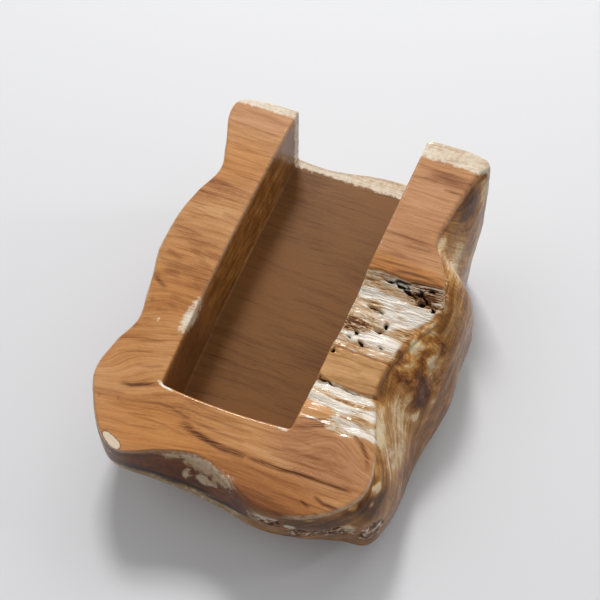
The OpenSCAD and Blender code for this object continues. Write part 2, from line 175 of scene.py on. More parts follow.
# Brown lines along the grain of the face: half width in millimetres, strength, then the points as x, y
MARKS = [
    (0.9, 0.35, -78, 183, -62, 183.5, -45, 182), (0.6, 0.35, -80, 172, -62, 172.5, -46, 172),
    (0.5, 0.3, -76, 149, -60, 149.5, -46, 149), (0.8, 0.55, -72, 116.5, -62, 117),
    (0.6, 0.4, -81, 108, -70, 110), (0.8, 0.6, -57, 109, -44, 108.5),
    (0.5, 0.45, -79, 106, -68, 105, -56, 103), (0.9, 0.75, -82, 90.5, -71, 91, -62, 90),
    (0.5, 0.45, -62, 87, -50, 88), (0.7, 0.6, -69, 83, -58, 83), (0.6, 0.5, -56, 81.5, -46, 80.5),
    (0.8, 0.65, -64, 79, -52, 77), (0.6, 0.55, -56, 74, -47, 73.5), (1.1, 0.75, -78, 73.5, -66, 71.5),
    (0.6, 0.5, -60, 70, -48, 70.5), (1, 0.6, -82, 68, -70, 66.5, -56, 67), (1.2, 0.7, -74, 64, -63, 63),
    (0.7, 0.6, -55, 63.5, -45, 62.5), (0.9, 0.6, -73, 60.5, -62, 60), (0.7, 0.6, -53, 59.5, -46, 58.5),
    (1.3, 0.85, -78, 56.5, -72, 53, -66, 51), (0.8, 0.5, -62, 48, -54, 49), (1, 0.7, -73, 43, -69, 40),
    (0.8, 0.6, -60, 42, -52, 41), (0.8, 0.5, -66, 36, -58, 38), (0.6, 0.5, -70, 28, -64, 30),
    (0.6, 0.5, -66, 14.5, -58, 18, -50, 20.5), (0.5, 0.4, -74, 4, -64, 9, -54, 12),
    (0.7, 0.45, -60, 1, -50, 4, -44, 7), (1, 0.85, -63, -11.5, -56, -10.5, -48, -6.5, -41, -3.5),
    (0.7, 0.6, -60, -20.5, -52, -18.5, -44, -16, -36, -13.7, -28, -13, -15, -15, 0, -15, 20, -14),
    (0.6, 0.5, -27, -9.5, -10, -10, 8, -9, 22, -8), (0.8, 0.4, -24, -5.5, -6, -6, 14, -5.5),
    (1.6, 0.9, -20, -18.5, -5, -21, 10, -22, 26, -20.8),
    (0.9, 1, 24, -21, 33, -20, 46, -19.3, 52, -18, 62, -17, 73, -16, 86, -15.5),
    (0.6, 0.5, 36, -14, 48, -13, 60, -11.5, 72, -10, 84, -10.5),
    (0.8, 0.55, 40, -8, 52, -7.5, 62, -6.3, 78, -4.5), (0.5, 0.4, 44, -1, 55, -1, 66, 1.5, 78, 0),
    (0.5, 0.4, 46, 3.5, 56, 6, 66, 7, 76, 4),
    (1, 0.8, 41, 4.5, 50, 9, 57, 12.2, 66, 14.5, 74, 14, 80, 11, 86, 5, 89.5, -2),
    (0.7, 0.8, 42, 12, 52, 14, 58, 16), (0.8, 0.85, 61, -30, 68, -31.7),
    (0.8, 0.85, 67.5, -25.3, 74, -27, 84, -26.5), (0.5, 0.4, -62, -33, -45, -31, -28, -27),
    (0.5, 0.4, -50, -26, -30, -23.5, -12, -24), (0.5, 0.35, -66, -26, -50, -23, -36, -19.5),
    (0.5, 0.3, 20, -27, 40, -26, 56, -24), (1, 0.7, -61, -20, -59, -20.5),
    (0.8, 0.7, -72, -23, -70, -23.4), (0.5, 0.5, 41, 187, 60, 186.5, 78, 187),
    (1.5, 0.6, 54, 182, 64, 183, 77, 181.5), (0.6, 0.6, 41, 177, 52, 178, 60, 178.5),
    (0.8, 0.7, 65, 175, 77, 175), (0.5, 0.4, 44, 168, 58, 169, 72, 168),
    (0.9, 0.6, 41, 136, 58, 136.5, 75, 136.7), (0.6, 0.5, 57, 131, 66, 132, 74, 133),
    (0.4, 0.4, 42, 127, 60, 125), (0.7, 0.65, 41, 116, 52, 117.5, 62, 118.5, 73, 120),
    (0.9, 0.8, 56, 113, 66, 115.3, 76, 116, 87, 115.5), (0.4, 0.4, 42, 146, 60, 148),
    (0.4, 0.4, 44, 122, 58, 123, 74, 125), (0.5, 0.6, 43, 58, 56, 57, 64, 57.5, 70, 60),
    (0.5, 0.5, 45, 50, 58, 49.5, 68, 51), (0.4, 0.4, 46, 45, 60, 45.5, 72, 47),
    (0.5, 0.9, 46, 99, 60, 100, 74, 103),
]

# Edge of the burl that bulges over the hollow: places along the slot, and how far out it lies there
BULGE = np.array([(30, 82), (40, 73), (62, 74), (75, 78), (95, 84), (106, 92)])
# Lump of sound wood in the hollow: its middle, half sizes and height in millimetres
LUMP_X, LUMP_Y, LUMP_HALF_X, LUMP_HALF_Y, LUMP_HEIGHT = 49, 82, 11, 9.5, 3.4
# Brown scars in the hollow: place, half sizes in millimetres, reach as a share of them, and strength
SCARS = [(80, 108, 9, 7, 1.5, 1), (48, 77, 9, 3.5, 1.4, 0.9)]
# Burl, torn lower edges and, with a turn in degrees, the pale oval: centre and half sizes in millimetres
BURL = (93, 74, 70, 22, 34, 32)
TORN_EDGES = [
    (102, -20, 43, 12, 13, 11), (50, -46, 57, 17, 8, 9), (86, -32, 49, 16, 10, 9), (70, -40, 48, 18, 9, 9),
]
OVALS = [(-48.8, -44.2, 69.2, 4.2, 2.6, 3.4, -18), (-51.6, -42.9, 70, 6.2, 2.1, 3, -20)]
# Where the rear end's sapwood begins on the live edge: places across the block, and the way back there
REAR_SAP = np.array([(-83, 188.6), (-62, 192.9), (-20, 195.8), (20, 202.2), (64, 206), (83, 203)])
# The same on the planed face: the way back at the slot's middle, its skew, and how wide its border fades
FACE_SAP, FACE_SAP_SKEW, SAP_BORDER = 189.5, 0.037, 5

# Middle of the front left pad, as shares of the block's width and length
PAD_ACROSS, PAD_ALONG = 0.20, 0.30
# Least share of the fine relief on the side, where its edge isn't live
LEAST_LIVE = 0.15
# The core, where the planed face closes inside the slot: half width, gaps to its ends, and soft widths
CORE_WIDTH, CORE_NEAR, CORE_REAR, CORE_WIDTH_SOFT, CORE_NEAR_SOFT = 36, 9, 11, 45, 6
# Depth of the hollow at the deepest place of its profile, in millimetres
WORN_DEEPEST = 10
# The side below follows the hollow's mean depth: reach of the mean in millimetres, and its steps
MEAN_REACH, MEAN_STEPS = 12, 13
# Skew of the hollow's steps against the slot, and the place across where they are measured
HOLLOW_SKEW, HOLLOW_MIDDLE = 0.09, 60
# The slot's cutter in millimetres: overrun at the rear, corner, fillet, flare, waviness and top
SLOT_OVERRUN, SLOT_CORNER, SLOT_FILLET, SLOT_FLARE, SAW_WAVE, SLOT_TOP = 20, 2, 1.5, 1.6, 0.22, 30
# Rear end of the block at the slot, with its skew, where the slot's walls flare
REAR_END, REAR_SKEW = 200, 0.09
# Points of the cutter along its near wall, side walls, corners and rear, and rings of its rounds and walls
NEAR_POINTS, WALL_POINTS, CORNER_POINTS, REAR_POINTS, ROUND_RINGS, WALL_RINGS = 60, 270, 7, 12, 5, 12
# Rings of the slot's floor, as shares of the way out from its middle line
FLOOR_SHARES = np.array([0.03, 0.2, 0.4, 0.6, 0.8])
# Fewest faces of a block whose slot was cut out
FEWEST_FACES = 20000
# Felt pads: soft lower rim and lift in metres, innermost ring and fuzz as shares, and points round
PAD_RIM, PAD_LIFT, PAD_MIDDLE, PAD_FUZZ, PAD_ROUND = 0.0007, 0.00006, 0.08, 0.012, 96
# Camera: turn and height of view in degrees, place in millimetres, focal length and sensor width
VIEW_TURN, VIEW_RISE, VIEW_PLACE, FOCAL, SENSOR = 24.97, 58, (120, -155.4, 498.9), 48, 36
# Half width of the floor, and the point that the lamps face, in metres
FLOOR_REACH, LAMP_AIM = 6, (0.01, 0, 0.06)
# Whole numbers that stir the bits of a place into a fixed value, and the mask that keeps 32 of them
MIX, STIR, MASK = (374761393, 668265263, 1440662683, 1013904223), (1274126177, 668265263), 0xFFFFFFFF

# Noises along the grain: scale along, across and down, per millimetre, then detail, roughness, distortion
GRAIN_NOISES = {
    "broad": (0.012, 0.035, 0.035, 2, 0.5, 0),
    "streak": (0.020, 0.24, 0.24, 4, 0.62, 0.5),
    "line": (0.045, 1.0, 1.0, 4, 0.68, 0.3),
    "pore": (0.40, 4.6, 4.6, 2, 0.5, 0),
    "sap_broad": (0.012, 0.05, 0.14, 3, 0.6, 0.6),
    "torn_fine": (0.055, 1.3, 1.3, 3, 0.65, 0.3),
    "torn_broad": (0.045, 0.20, 0.20, 3, 0.6, 1.0),
    "thread": (0.06, 2.6, 2.6, 3, 0.6, 0.6),
    "fine": (0.12, 1.5, 1.5, 2, 0.6, 0),
}
# Noises through the block: scale per millimetre, then detail, roughness, distortion
BLOCK_NOISES = {
    "ragged": (0.34, 5, 0.66, 0), "spot": (0.20, 4, 0.62, 0.8), "clump": (0.075, 7, 0.68, 0.4),
    "lumpy": (0.35, 3, 0.6, 0.5),
}


def srgb(colour):
    """A screen colour as the linear colour that the shaders take."""
    c = np.asarray(colour, float)
    return tuple(np.where(c <= 0.04045, c / 12.92, ((c + 0.055) / 1.055) ** 2.4))


def ease(t):
    """Smooth step: 3 t squared less 2 t cubed, with t held from 0 to 1."""
    c = np.clip(t, 0, 1)
    return c * c * (3 - 2 * c)


def lattice(ix, iy, iz, seed):
    """Fixed value from -1 to 1 at each whole-number place, stirred from the bits of its numbers."""
    h = sum(number * factor for number, factor in zip((ix, iy, iz, seed), MIX)) & MASK
    h = ((h ^ (h >> 13)) * STIR[0]) & MASK
    h = ((h ^ (h >> 15)) * STIR[1]) & MASK
    return (h ^ (h >> 16)) / (MASK / 2) - 1


def noise(x, y, z, seed):
    """Lattice values blended between whole-number places along each axis by a smooth step."""
    x, y, z = np.broadcast_arrays(x, y, z)
    ix, iy, iz = (np.floor(v).astype(np.int64) for v in (x, y, z))
    fx, fy, fz = ease(x - ix), ease(y - iy), ease(z - iz)
    near = [lattice(ix + (k & 1), iy + (k >> 1 & 1), iz + (k >> 2), seed) for k in range(8)]
    flat = [near[k] + (near[k + 1] - near[k]) * fx for k in (0, 2, 4, 6)]
    low, high = flat[0] + (flat[1] - flat[0]) * fy, flat[2] + (flat[3] - flat[2]) * fy
    return low + (high - low) * fz


def layered(x, y, z, seed, layers=3):
    """Noise summed over layers, each at twice the pitch and half the height of the last."""
    total = sum(noise(x * 2**k, y * 2**k, z * 2**k, seed + k) / 2**k for k in range(layers))
    return total / (2 - 2 ** (1 - layers))


def closed_curve(table, t):
    """Closed curve through the rows of a table, at places t counted in rows: cubic, with each
    slope half the step between the rows on either side."""
    i = np.floor(t).astype(int)
    f = (t - i)[:, None]
    a, b, c, d = (table[(i + k) % len(table)] for k in (-1, 0, 1, 2))
    return b + f / 2 * ((c - a) + f * (2 * a - 5 * b + 4 * c - d + f * (3 * b - a - 3 * c + d)))


def turned(x, y, cx, cy, turn):
    """Places measured from a centre along axes turned by an angle in degrees."""
    c, n = math.cos(math.radians(turn)), math.sin(math.radians(turn))
    return (x - cx) * c + (y - cy) * n, (y - cy) * c - (x - cx) * n


def ball(x, y, z, cx, cy, cz, rx, ry, rz, turn=0):
    """How far inside an ellipsoid a point is: 1 at its centre, 0 on its surface, less than 0 outside."""
    u, v = turned(x, y, cx, cy, turn)
    return 1 - np.sqrt((u / rx) ** 2 + (v / ry) ** 2 + ((z - cz) / rz) ** 2)


def block_sizes(context):
    """The block's sizes in millimetres, its slope as rise over run, and the middle of its outline, which is
    the front left pad's place in the block less its place in the frame."""
    g = context.scene.coaster_block
    s = SimpleNamespace(**{k: getattr(g, k) * 1000 for k in g.__annotations__})
    s.tilt = g.face_slope
    s.slope = math.tan(g.face_slope)
    low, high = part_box("pad_front_left")
    pad = np.array([PAD_ACROSS * s.width - s.slot_from_left, PAD_ALONG * s.length - s.front_wall, 0])
    s.middle = pad - np.array([low.x + high.x, low.y + high.y, 0]) * 500
    return s


def face_height(s, y):
    """Height of the planed face: its height at the near wall plus the slope times the way back."""
    return s.face_height + y * s.slope


def slot_half_width(s, along):
    """Half the slot's width, which grows evenly from its near wall to its open rear end."""
    return (s.slot_width + (s.slot_rear_width - s.slot_width) * along / (s.length - s.front_wall)) / 2


def along_hollow(x, y):
    """Place in the hollow's profile: the way back, less a slight skew, plus a ragged wander of the steps."""
    wander = 1.1 * noise(x / 13, y / 30, 0.0, 11) + 0.55 * noise(x / 4.5, y / 12, 0.0, 12)
    return y - HOLLOW_SKEW * (x - HOLLOW_MIDDLE) + wander


def fibres(x, y):
    """Torn fibres along x: noise in three pitches, long across the arm and short along the slot, folded
    into sharp ridges that fade in and out."""
    bend = y + 2.6 * noise(x / 20, y / 20, 0.0, 21) - 0.10 * (x - HOLLOW_MIDDLE)
    splinter = 1 - 2.4 * np.abs(noise(x / 30, bend / 6.0, 0.0, 24))
    fold = 1 - 2 * np.abs(noise(x / 24, bend / 2.7, 0.0, 22))
    fine = 1 - 2 * np.abs(noise(x / 14, bend / 1.3, 0.0, 23))
    patch = 0.5 + 0.5 * noise(x / 13, y / 9, 0.0, 25)
    return 0.6 * splinter + (0.3 + 0.5 * patch) * fold + (0.55 - 0.3 * patch) * fine


def pit_fields(x, y):
    """Depth and blackness of the pits: the most of all ellipses, 1 at the centre and 0 at the rim, made
    ragged by noise."""
    dx = x + 1.3 * noise(x / 2.6, y / 2.2, 0.0, 31)
    dy = y + 0.9 * noise(x / 3.2, y / 1.8, 0.0, 32)
    depth, black = np.zeros_like(x), np.zeros_like(x)
    for px, py, long, wide, deep, turn in PITS:
        u, v = turned(dx, dy, px, py, turn)
        inner = ease(1.35 - np.sqrt((u / long) ** 2 + (v / wide) ** 2))
        depth, black = np.maximum(depth, deep * inner), np.maximum(black, inner)
    return depth, black


def torn_share(x, y):
    """Share of torn wood: next to none on the sound wood beside the slot at the front of the hollow, where
    both smooth steps are 1, and 1 elsewhere."""
    return 1 - 0.95 * ease((60 - x) / 5) * ease((24.5 - y) / 1.5)


def worn(s, x, y):
    """Depth of the weathered hollow below the planed face: the profile along the slot, plus torn
    fibres where it is white, less a lump of sound wood, plus the pits, all faded in from the slot."""
    place = along_hollow(x, y)
    base = np.interp(place, *WORN_PROFILE.T)
    white = np.interp(place, *FIBRE_PROFILE.T)
    lump = LUMP_HEIGHT * ease(1.25 - np.hypot((x - LUMP_X) / LUMP_HALF_X, (y - LUMP_Y) / LUMP_HALF_Y))
    rough = ease(base / 2.5)
    torn = white * rough * (0.5 - 0.95 * fibres(x, y)) + rough * 0.9 * layered(x / 11, y / 8, 0.0, 41)
    torn = torn * torn_share(x, y)
    pits, _ = pit_fields(x, y)
    fade = ease((x + s.slot_width / 8) / (s.slot_width / 2))
    return s.hollow_depth / WORN_DEEPEST * np.maximum(0, base - lump * rough + torn + pits) * fade


def outward(s, x, y):
    """Unit vectors pointing out of the block: away from a spine that ends short of its front and rear."""
    dy = y - np.clip(y, s.front_wall, s.length - 2 * s.front_wall)
    far = np.maximum(np.hypot(x, dy), s.edge_radius)
    return np.stack([x / far, dy / far], -1)


def flutes(s, t, v, live):
    """Scoops in the live edge: two sets of sine waves up the side that drift round it, each from 0 to -2."""
    first = np.sin(2 * np.pi * (FLUTE_WAVES * v + FLUTE_DRIFT * t)) - 1
    second = np.sin(2 * np.pi * (SECOND_DRIFT * t - SECOND_WAVES * v)) - 1
    return s.flute_depth * live * np.sin(np.pi * v) * (first + SECOND_SHARE * second) / 2


def outlines(s, t):
    """The four outlines that the shell is lofted through, at places t round the block, with how flat,
    bevelled and live it is there. The shoulder lies on the way from the crown to the belly, an edge radius
    out, or all the way on the bevel, and is lowered by the hollow's mean depth nearby."""
    size, corner = np.array([s.width, s.length]), np.array([s.slot_from_left, s.front_wall])
    share = closed_curve(BELLY, t)
    o = SimpleNamespace(crown=closed_curve(CROWN, t) * size - corner)
    o.belly = np.column_stack([share[:, :2] * size - corner, share[:, 2] * s.face_height])
    o.sole = np.column_stack([
        SOLE_MIDDLE + (share[:, 0] - SOLE_MIDDLE) * SOLE_WIDTH,
        SOLE_FRONT + share[:, 1] * (SOLE_REAR - SOLE_FRONT),
    ]) * size - corner
    o.flat, bevel, live = (closed_curve(table, t)[:, 0] for table in (FLAT, BEVEL, LIVE))
    o.bevel, o.live = np.maximum(0, bevel), np.maximum(0, live)
    x, y = o.crown.T
    o.top = face_height(s, y) - worn(s, x, y)
    shift = np.linspace(-MEAN_REACH, MEAN_REACH, MEAN_STEPS)[:, None]
    mean = worn(s, x + 0 * shift, y + shift).mean(0)
    lean = o.belly[:, :2] - o.crown
    far = np.maximum(np.hypot(*lean.T), s.edge_radius / 4)
    reach = np.minimum(far, s.edge_radius + (far - s.edge_radius) * o.bevel)
    o.shoulder = o.crown + lean * (reach / far)[:, None]
    o.shoulder_z = face_height(s, y) - mean - s.edge_radius - s.bevel_drop * o.bevel
    return o


def rising(rows, last=False):
    """A column of shares from 0 to 1, one to a row."""
    return np.linspace(0, 1, rows, endpoint=last)[:, None]


def bowed(v, straight):
    """Ways out and up a side, for v from 0 at its foot to 1 at its top: a straight line blended with a
    quarter ellipse, whose ways are a cosine and a sine."""
    turn = np.pi / 2 * v
    return straight * (1 - v) + (1 - straight) * np.cos(turn), straight * v + (1 - straight) * np.sin(turn)


def lifted(flat, height):
    """Points from their places on the table and their heights."""
    return np.concatenate([flat, height[..., None]], -1)


def face_rows(s, crown):
    """Rows of the planed face: straight in from the crown to a core inside the slot, whose place across is
    a tanh of the crown's and whose place along is a soft maximum of it and the core's near end."""
    v = rising(FACE_ROWS, last=True)
    crown_x, crown_y = crown.T
    core_x = CORE_WIDTH * np.tanh(crown_x / CORE_WIDTH_SOFT)
    core_y = CORE_NEAR + CORE_NEAR_SOFT * np.logaddexp(0, (crown_y - CORE_NEAR) / CORE_NEAR_SOFT)
    core_y = np.minimum(core_y, s.length - s.front_wall - CORE_REAR)
    x, y = crown_x + (core_x - crown_x) * v, crown_y + (core_y - crown_y) * v
    return np.stack([x, y, face_height(s, y) - worn(s, x, y)], -1)


def shell_grid(s):
    """Points of the shell as rows of closed rings, and the share of the fine relief that each takes: across
    the sole, sole to belly by a sine and a cosine, belly to shoulder and shoulder to crown by bowed sides,
    then straight in to a core inside the slot."""
    t = np.concatenate([i + np.arange(n) / n for i, n in enumerate(COLUMNS)])
    o = outlines(s, t)
    out_way = outward(s, o.belly[:, 0], o.belly[:, 1])

    v = np.linspace(0.04, 1, SOLE_ROWS, endpoint=False)[:, None, None]
    flat = o.sole.mean(0) + (o.sole - o.sole.mean(0)) * v
    sole = lifted(flat, np.full(flat.shape[:2], s.pad_thickness))

    v = rising(UNDER_ROWS)
    cut = ease(-o.belly[:, 1] / s.front_wall)
    out, up = cut * v + (1 - cut) * np.sin(np.pi / 2 * v), cut * v + (1 - cut) * (1 - np.cos(np.pi / 2 * v))
    scoop = (flutes(s, t, v / 2, o.live) * v)[..., None] * out_way
    flat = o.sole + (o.belly[:, :2] - o.sole) * out[..., None] + scoop
    under = lifted(flat, s.pad_thickness + (o.belly[:, 2] - s.pad_thickness) * up)

    v = rising(SIDE_ROWS)
    out, up = bowed(v, o.flat)
    scoop = (flutes(s, t, 0.5 + v / 2, o.live) * (1 - v))[..., None] * out_way
    flat = o.shoulder + (o.belly[:, :2] - o.shoulder) * out[..., None] + scoop
    side = lifted(flat, o.belly[:, 2] + (o.shoulder_z - o.belly[:, 2]) * up)

    out, up = bowed(rising(EDGE_ROWS), o.bevel)
    flat = o.crown + (o.shoulder - o.crown) * out[..., None]
    edge = lifted(flat, o.shoulder_z + (o.top - o.shoulder_z) * up)

    share = np.concatenate([
        np.zeros((SOLE_ROWS, 1)), rising(UNDER_ROWS), np.ones((SIDE_ROWS, 1)),
        np.linspace(1, 0, EDGE_ROWS, endpoint=False)[:, None], np.zeros((FACE_ROWS, 1)),
    ])
    rows = np.concatenate([sole, under, side, edge, face_rows(s, o.crown)])
    return rows, share * np.maximum(o.live, LEAST_LIVE)


def grid_normals(rows):
    """Normals of a grid of closed rings: the way round crossed with the way up, made unit length."""
    way_round = np.roll(rows, -1, 1) - np.roll(rows, 1, 1)
    cross = np.cross(way_round, np.gradient(rows, axis=0))
    return cross / np.maximum(np.linalg.norm(cross, axis=-1, keepdims=True), 1e-9)


def burl_zone(x, y, z):
    """The burl under the crest of the right arm: an ellipsoid with a soft edge."""
    return ease(1.7 * ball(x, y, z, *BURL))


def torn_zone(x, y, z):
    """The torn, fibrous lower edges at the front right: the most of the soft ellipsoids."""
    return np.max([ease(1.8 * ball(x, y, z, *edge)) for edge in TORN_EDGES], axis=0)


def streak_level(s, x, y, z):
    """Height by which the live edge is streaked: the share of its height, less a climb towards the rear
    on the right-hand side, plus a wander."""
    climb = 0.34 * y * ease(x / 60) * ease((175 - y) / 60)
    return z / face_height(s, y) * s.face_height - climb + 5 * layered(x / 38, y / 38, z / 30, 57, 2)


def relief(s, p):
    """Height of the live edge's own surface: broad lumps, fine ridges that follow the streaks, knobs on
    the burl and torn fibres at the front right."""
    x, y, z = p[..., 0], p[..., 1], p[..., 2]
    level = streak_level(s, x, y, z)
    lumps = layered(x / 24, y / 24, z / 13, 51)
    ridges = 0.35 * layered(x / 45, y / 45, level / 4.5, 52, 2)
    knobs = 1.6 * np.abs(layered(x / 11, y / 11, z / 11, 53)) - 0.8
    knobs = knobs + 0.5 * layered(x / 4, y / 4, z / 4, 54, 2)
    folds = -1.6 * np.abs(noise(x / 14, y / 14, level / 2.6, 55))
    splits = 1.8 * ease(2 * layered(x / 7, y / 7, z / 5, 56))
    return lumps + ridges + burl_zone(x, y, z) * knobs + torn_zone(x, y, z) * (folds - splits)


def mesh_from_rings(name, rows, zipped=False):
    """A closed mesh from rows of closed rings: quads between rings, and a flat end at each side. A zipped
    first end joins each point of its ring to the one across from it."""
    count, around = rows.shape[:2]
    i, j = np.meshgrid(np.arange(count - 1), np.arange(around), indexing="ij")
    a, b = i * around + j, i * around + (j + 1) % around
    quads = np.stack([a, b, b + around, a + around], -1).reshape(-1, 4)
    ring = np.arange(around)
    k = np.arange(around // 2 - 1)
    strip = np.stack([k, around - 1 - k, around - 2 - k, k + 1], -1)
    first = strip.ravel() if zipped else ring[::-1]
    sizes = np.full(len(strip), 4) if zipped else [around]
    corners = np.concatenate([quads.ravel(), first, (count - 1) * around + ring]).astype(np.int32)
    totals = np.concatenate([np.full(len(quads), 4), sizes, [around]])
    starts = np.concatenate([[0], np.cumsum(totals)[:-1]]).astype(np.int32)
    mesh = bpy.data.meshes.new(name)
    mesh.vertices.add(count * around)
    mesh.vertices.foreach_set("co", rows.astype(np.float32).ravel())
    mesh.loops.add(len(corners))
    mesh.loops.foreach_set("vertex_index", corners)
    mesh.polygons.add(len(totals))
    mesh.polygons.foreach_set("loop_start", starts)
    mesh.update(calc_edges=True)
    return mesh


def linked(name, mesh):
    """A new object at the origin that shows a mesh."""
    piece = bpy.data.objects.new(name, mesh)
    bpy.context.scene.collection.objects.link(piece)
    return piece


def surfaced(mesh, material, sharp):
    """Shades a mesh smooth up to an angle in degrees, and gives it its material."""
    mesh.shade_smooth()
    mesh.set_sharp_from_angle(angle=math.radians(sharp))
    mesh.materials.clear()
    mesh.materials.append(material)


def slot_wall(s, side, run):
    """A side wall of the slot, from its corner to the cutter's end: half the width, bowed by half a sine wave
    on the left, and flared by a quarter circle where it leaves the block's rear."""
    along = np.linspace(SLOT_CORNER, run, WALL_POINTS)
    x = slot_half_width(s, along)
    if side < 0:
        x = x + s.slot_bow * np.sin(np.pi * np.minimum(1, along / run))
    rear = REAR_END + REAR_SKEW * side * x
    leave = np.clip((along * math.cos(s.tilt) - rear + SLOT_FLARE) / SLOT_FLARE, 0, 1)
    x = x + SLOT_FLARE * (1 - np.sqrt(1 - leave * leave))
    start = side * s.near_wall_skew / 2
    return np.column_stack([side * x, along + start * (1 - along / run)])


def rounded(a, mid, b):
    """A corner from a to b that bends towards mid: the three points weighted by (1-q) squared, 2q(1-q) and
    q squared."""
    q = np.linspace(0, 1, CORNER_POINTS)[1:-1, None]
    return a * (1 - q) ** 2 + 2 * mid * q * (1 - q) + b * q * q


def slot_outline(s, run):
    """Outline of the slot, square to the face, from the middle of its near wall, which is skewed and curved
    by 1 less 4 f squared, for f from -0.5 to 0.5 across it."""
    half = s.slot_width / 2
    f = np.linspace(-0.5, 0.5, NEAR_POINTS)
    near = np.column_stack([f * s.slot_width, f * s.near_wall_skew - s.slot_width / 40 * (1 - 4 * f * f)])
    near = near[(near[:, 0] > SLOT_CORNER - half) & (near[:, 0] < half - SLOT_CORNER)]
    right, left = slot_wall(s, 1, run), slot_wall(s, -1, run)[::-1]
    corner = np.array([half, s.near_wall_skew / 2])
    rear = np.linspace(right[-1, 0], left[0, 0], REAR_POINTS)[1:-1]
    outline = np.concatenate([
        near, rounded(near[-1], corner, right[0]), right, np.column_stack([rear, np.full_like(rear, run)]),
        left, rounded(left[-1], -corner, near[0]),
    ])
    return np.roll(outline, -(len(near) // 2), axis=0)


def slot_grid(s):
    """Rings of the slot's cutter, laid in the face's own tilt: the floor from its middle line outwards, a
    fillet by sine and cosine, walls with a slight saw waviness, a rounded rim that follows the worn face,
    then straight up."""
    run, radius = s.length - s.front_wall + SLOT_OVERRUN, s.rim_radius
    c, n = math.cos(s.tilt), math.sin(s.tilt)
    outline = slot_outline(s, run)
    tangent = np.roll(outline, -1, 0) - np.roll(outline, 1, 0)
    normal = np.column_stack([tangent[:, 1], -tangent[:, 0]]) / np.linalg.norm(tangent, axis=1)[:, None]
    surface = -worn(s, outline[:, 0], outline[:, 1] * c) * c
    level = 0 * surface
    floor, head = level - s.slot_depth, surface - radius
    foot = SLOT_FILLET - s.slot_depth
    angles = np.linspace(0, np.pi / 2, ROUND_RINGS)
    rings = [(-SLOT_FILLET * (1 - math.sin(a)), floor + SLOT_FILLET * (1 - math.cos(a))) for a in angles]
    for k in range(1, WALL_RINGS + 1):
        wave = SAW_WAVE * noise(outline[:, 0] / 9, outline[:, 1] / 9, k * 0.8, 61)
        rings.append((wave * math.sin(math.pi * k / WALL_RINGS), foot + (head - foot) * k / WALL_RINGS))
    rings += [(radius * (1 - math.cos(a)), head + radius * math.sin(a)) for a in angles[1:]]
    rings += [(radius + 0.1, surface + 2.5), (radius + 0.2, level + SLOT_TOP)]
    walls = np.stack([
        np.column_stack([outline + normal * np.broadcast_to(out, level.shape)[:, None], high])
        for out, high in rings
    ])
    spine = np.column_stack([level, np.clip(outline[:, 1], SLOT_OVERRUN, run - SLOT_OVERRUN), floor])
    inside = spine + (walls[0] - spine) * FLOOR_SHARES[:, None, None]
    x, y, z = np.moveaxis(np.concatenate([inside, walls]), -1, 0)
    return np.stack([x, y * c - z * n, s.face_height + y * n + z * c], -1)


def face_marks(x, y):
    """For each point, the signed distance to the nearest brown line, that line's half width, and its
    strength, which is tapered along the line by 4t(1-t) to the power 0.3 and is none beyond 3 mm from it."""
    near = np.full(x.shape, 9.0)
    width, strength = np.ones_like(x), np.zeros_like(x)
    for half, ink, *points in MARKS:
        line = np.array(points).reshape(-1, 2)
        run = np.concatenate([[0], np.cumsum(np.hypot(*np.diff(line, axis=0).T))])
        for start, end, before, length in zip(line, line[1:], run, np.diff(run)):
            way = (end - start) / length
            dx, dy = x - start[0], y - start[1]
            along = np.clip(dx * way[0] + dy * way[1], 0, length)
            far = np.hypot(dx - along * way[0], dy - along * way[1])
            closer = far < np.abs(near)
            t = (before + along[closer]) / run[-1]
            side = np.where(way[0] * dy - way[1] * dx > 0, 1, -1)[closer]
            near[closer], width[closer] = side * far[closer], half
            strength[closer] = ink * (4 * t * (1 - t)) ** 0.3 * ease((3 - far[closer]) / 1.5)
    return np.column_stack([np.clip(near, -3, 3), width, strength])


def zones(s, p):
    """Where each point lies: its depth below the planed face and in the hollow, and its shares of the slot,
    of the burl's bulge over the hollow, of the top and of the side. Each share is made of smooth steps."""
    x, y, z = p.T
    a = SimpleNamespace(s=s, x=x, y=y, z=z, drop=face_height(s, y) - z, hollow=worn(s, x, y))
    a.place = along_hollow(x, y)
    a.below = a.drop - a.hollow
    a.in_slot = ease((slot_half_width(s, y) + 2.6 - np.abs(x)) / 1.2) * ease((y + 5) / 2)
    a.inner = a.in_slot * ease((a.below - 1.5) / 5)
    bulge = np.interp(y, *BULGE.T) + 2 * noise(y / 6, x / 6, 0.0, 70)
    a.over = ease((x - bulge) / 4) * ease((y - 34) / 6) * ease((108 - y) / 4)
    a.top = (1 - ease((a.below - 1.2) / 2.5)) * (1 - a.inner) * (1 - a.over)
    a.side = (1 - a.top) * (1 - a.inner)
    return a


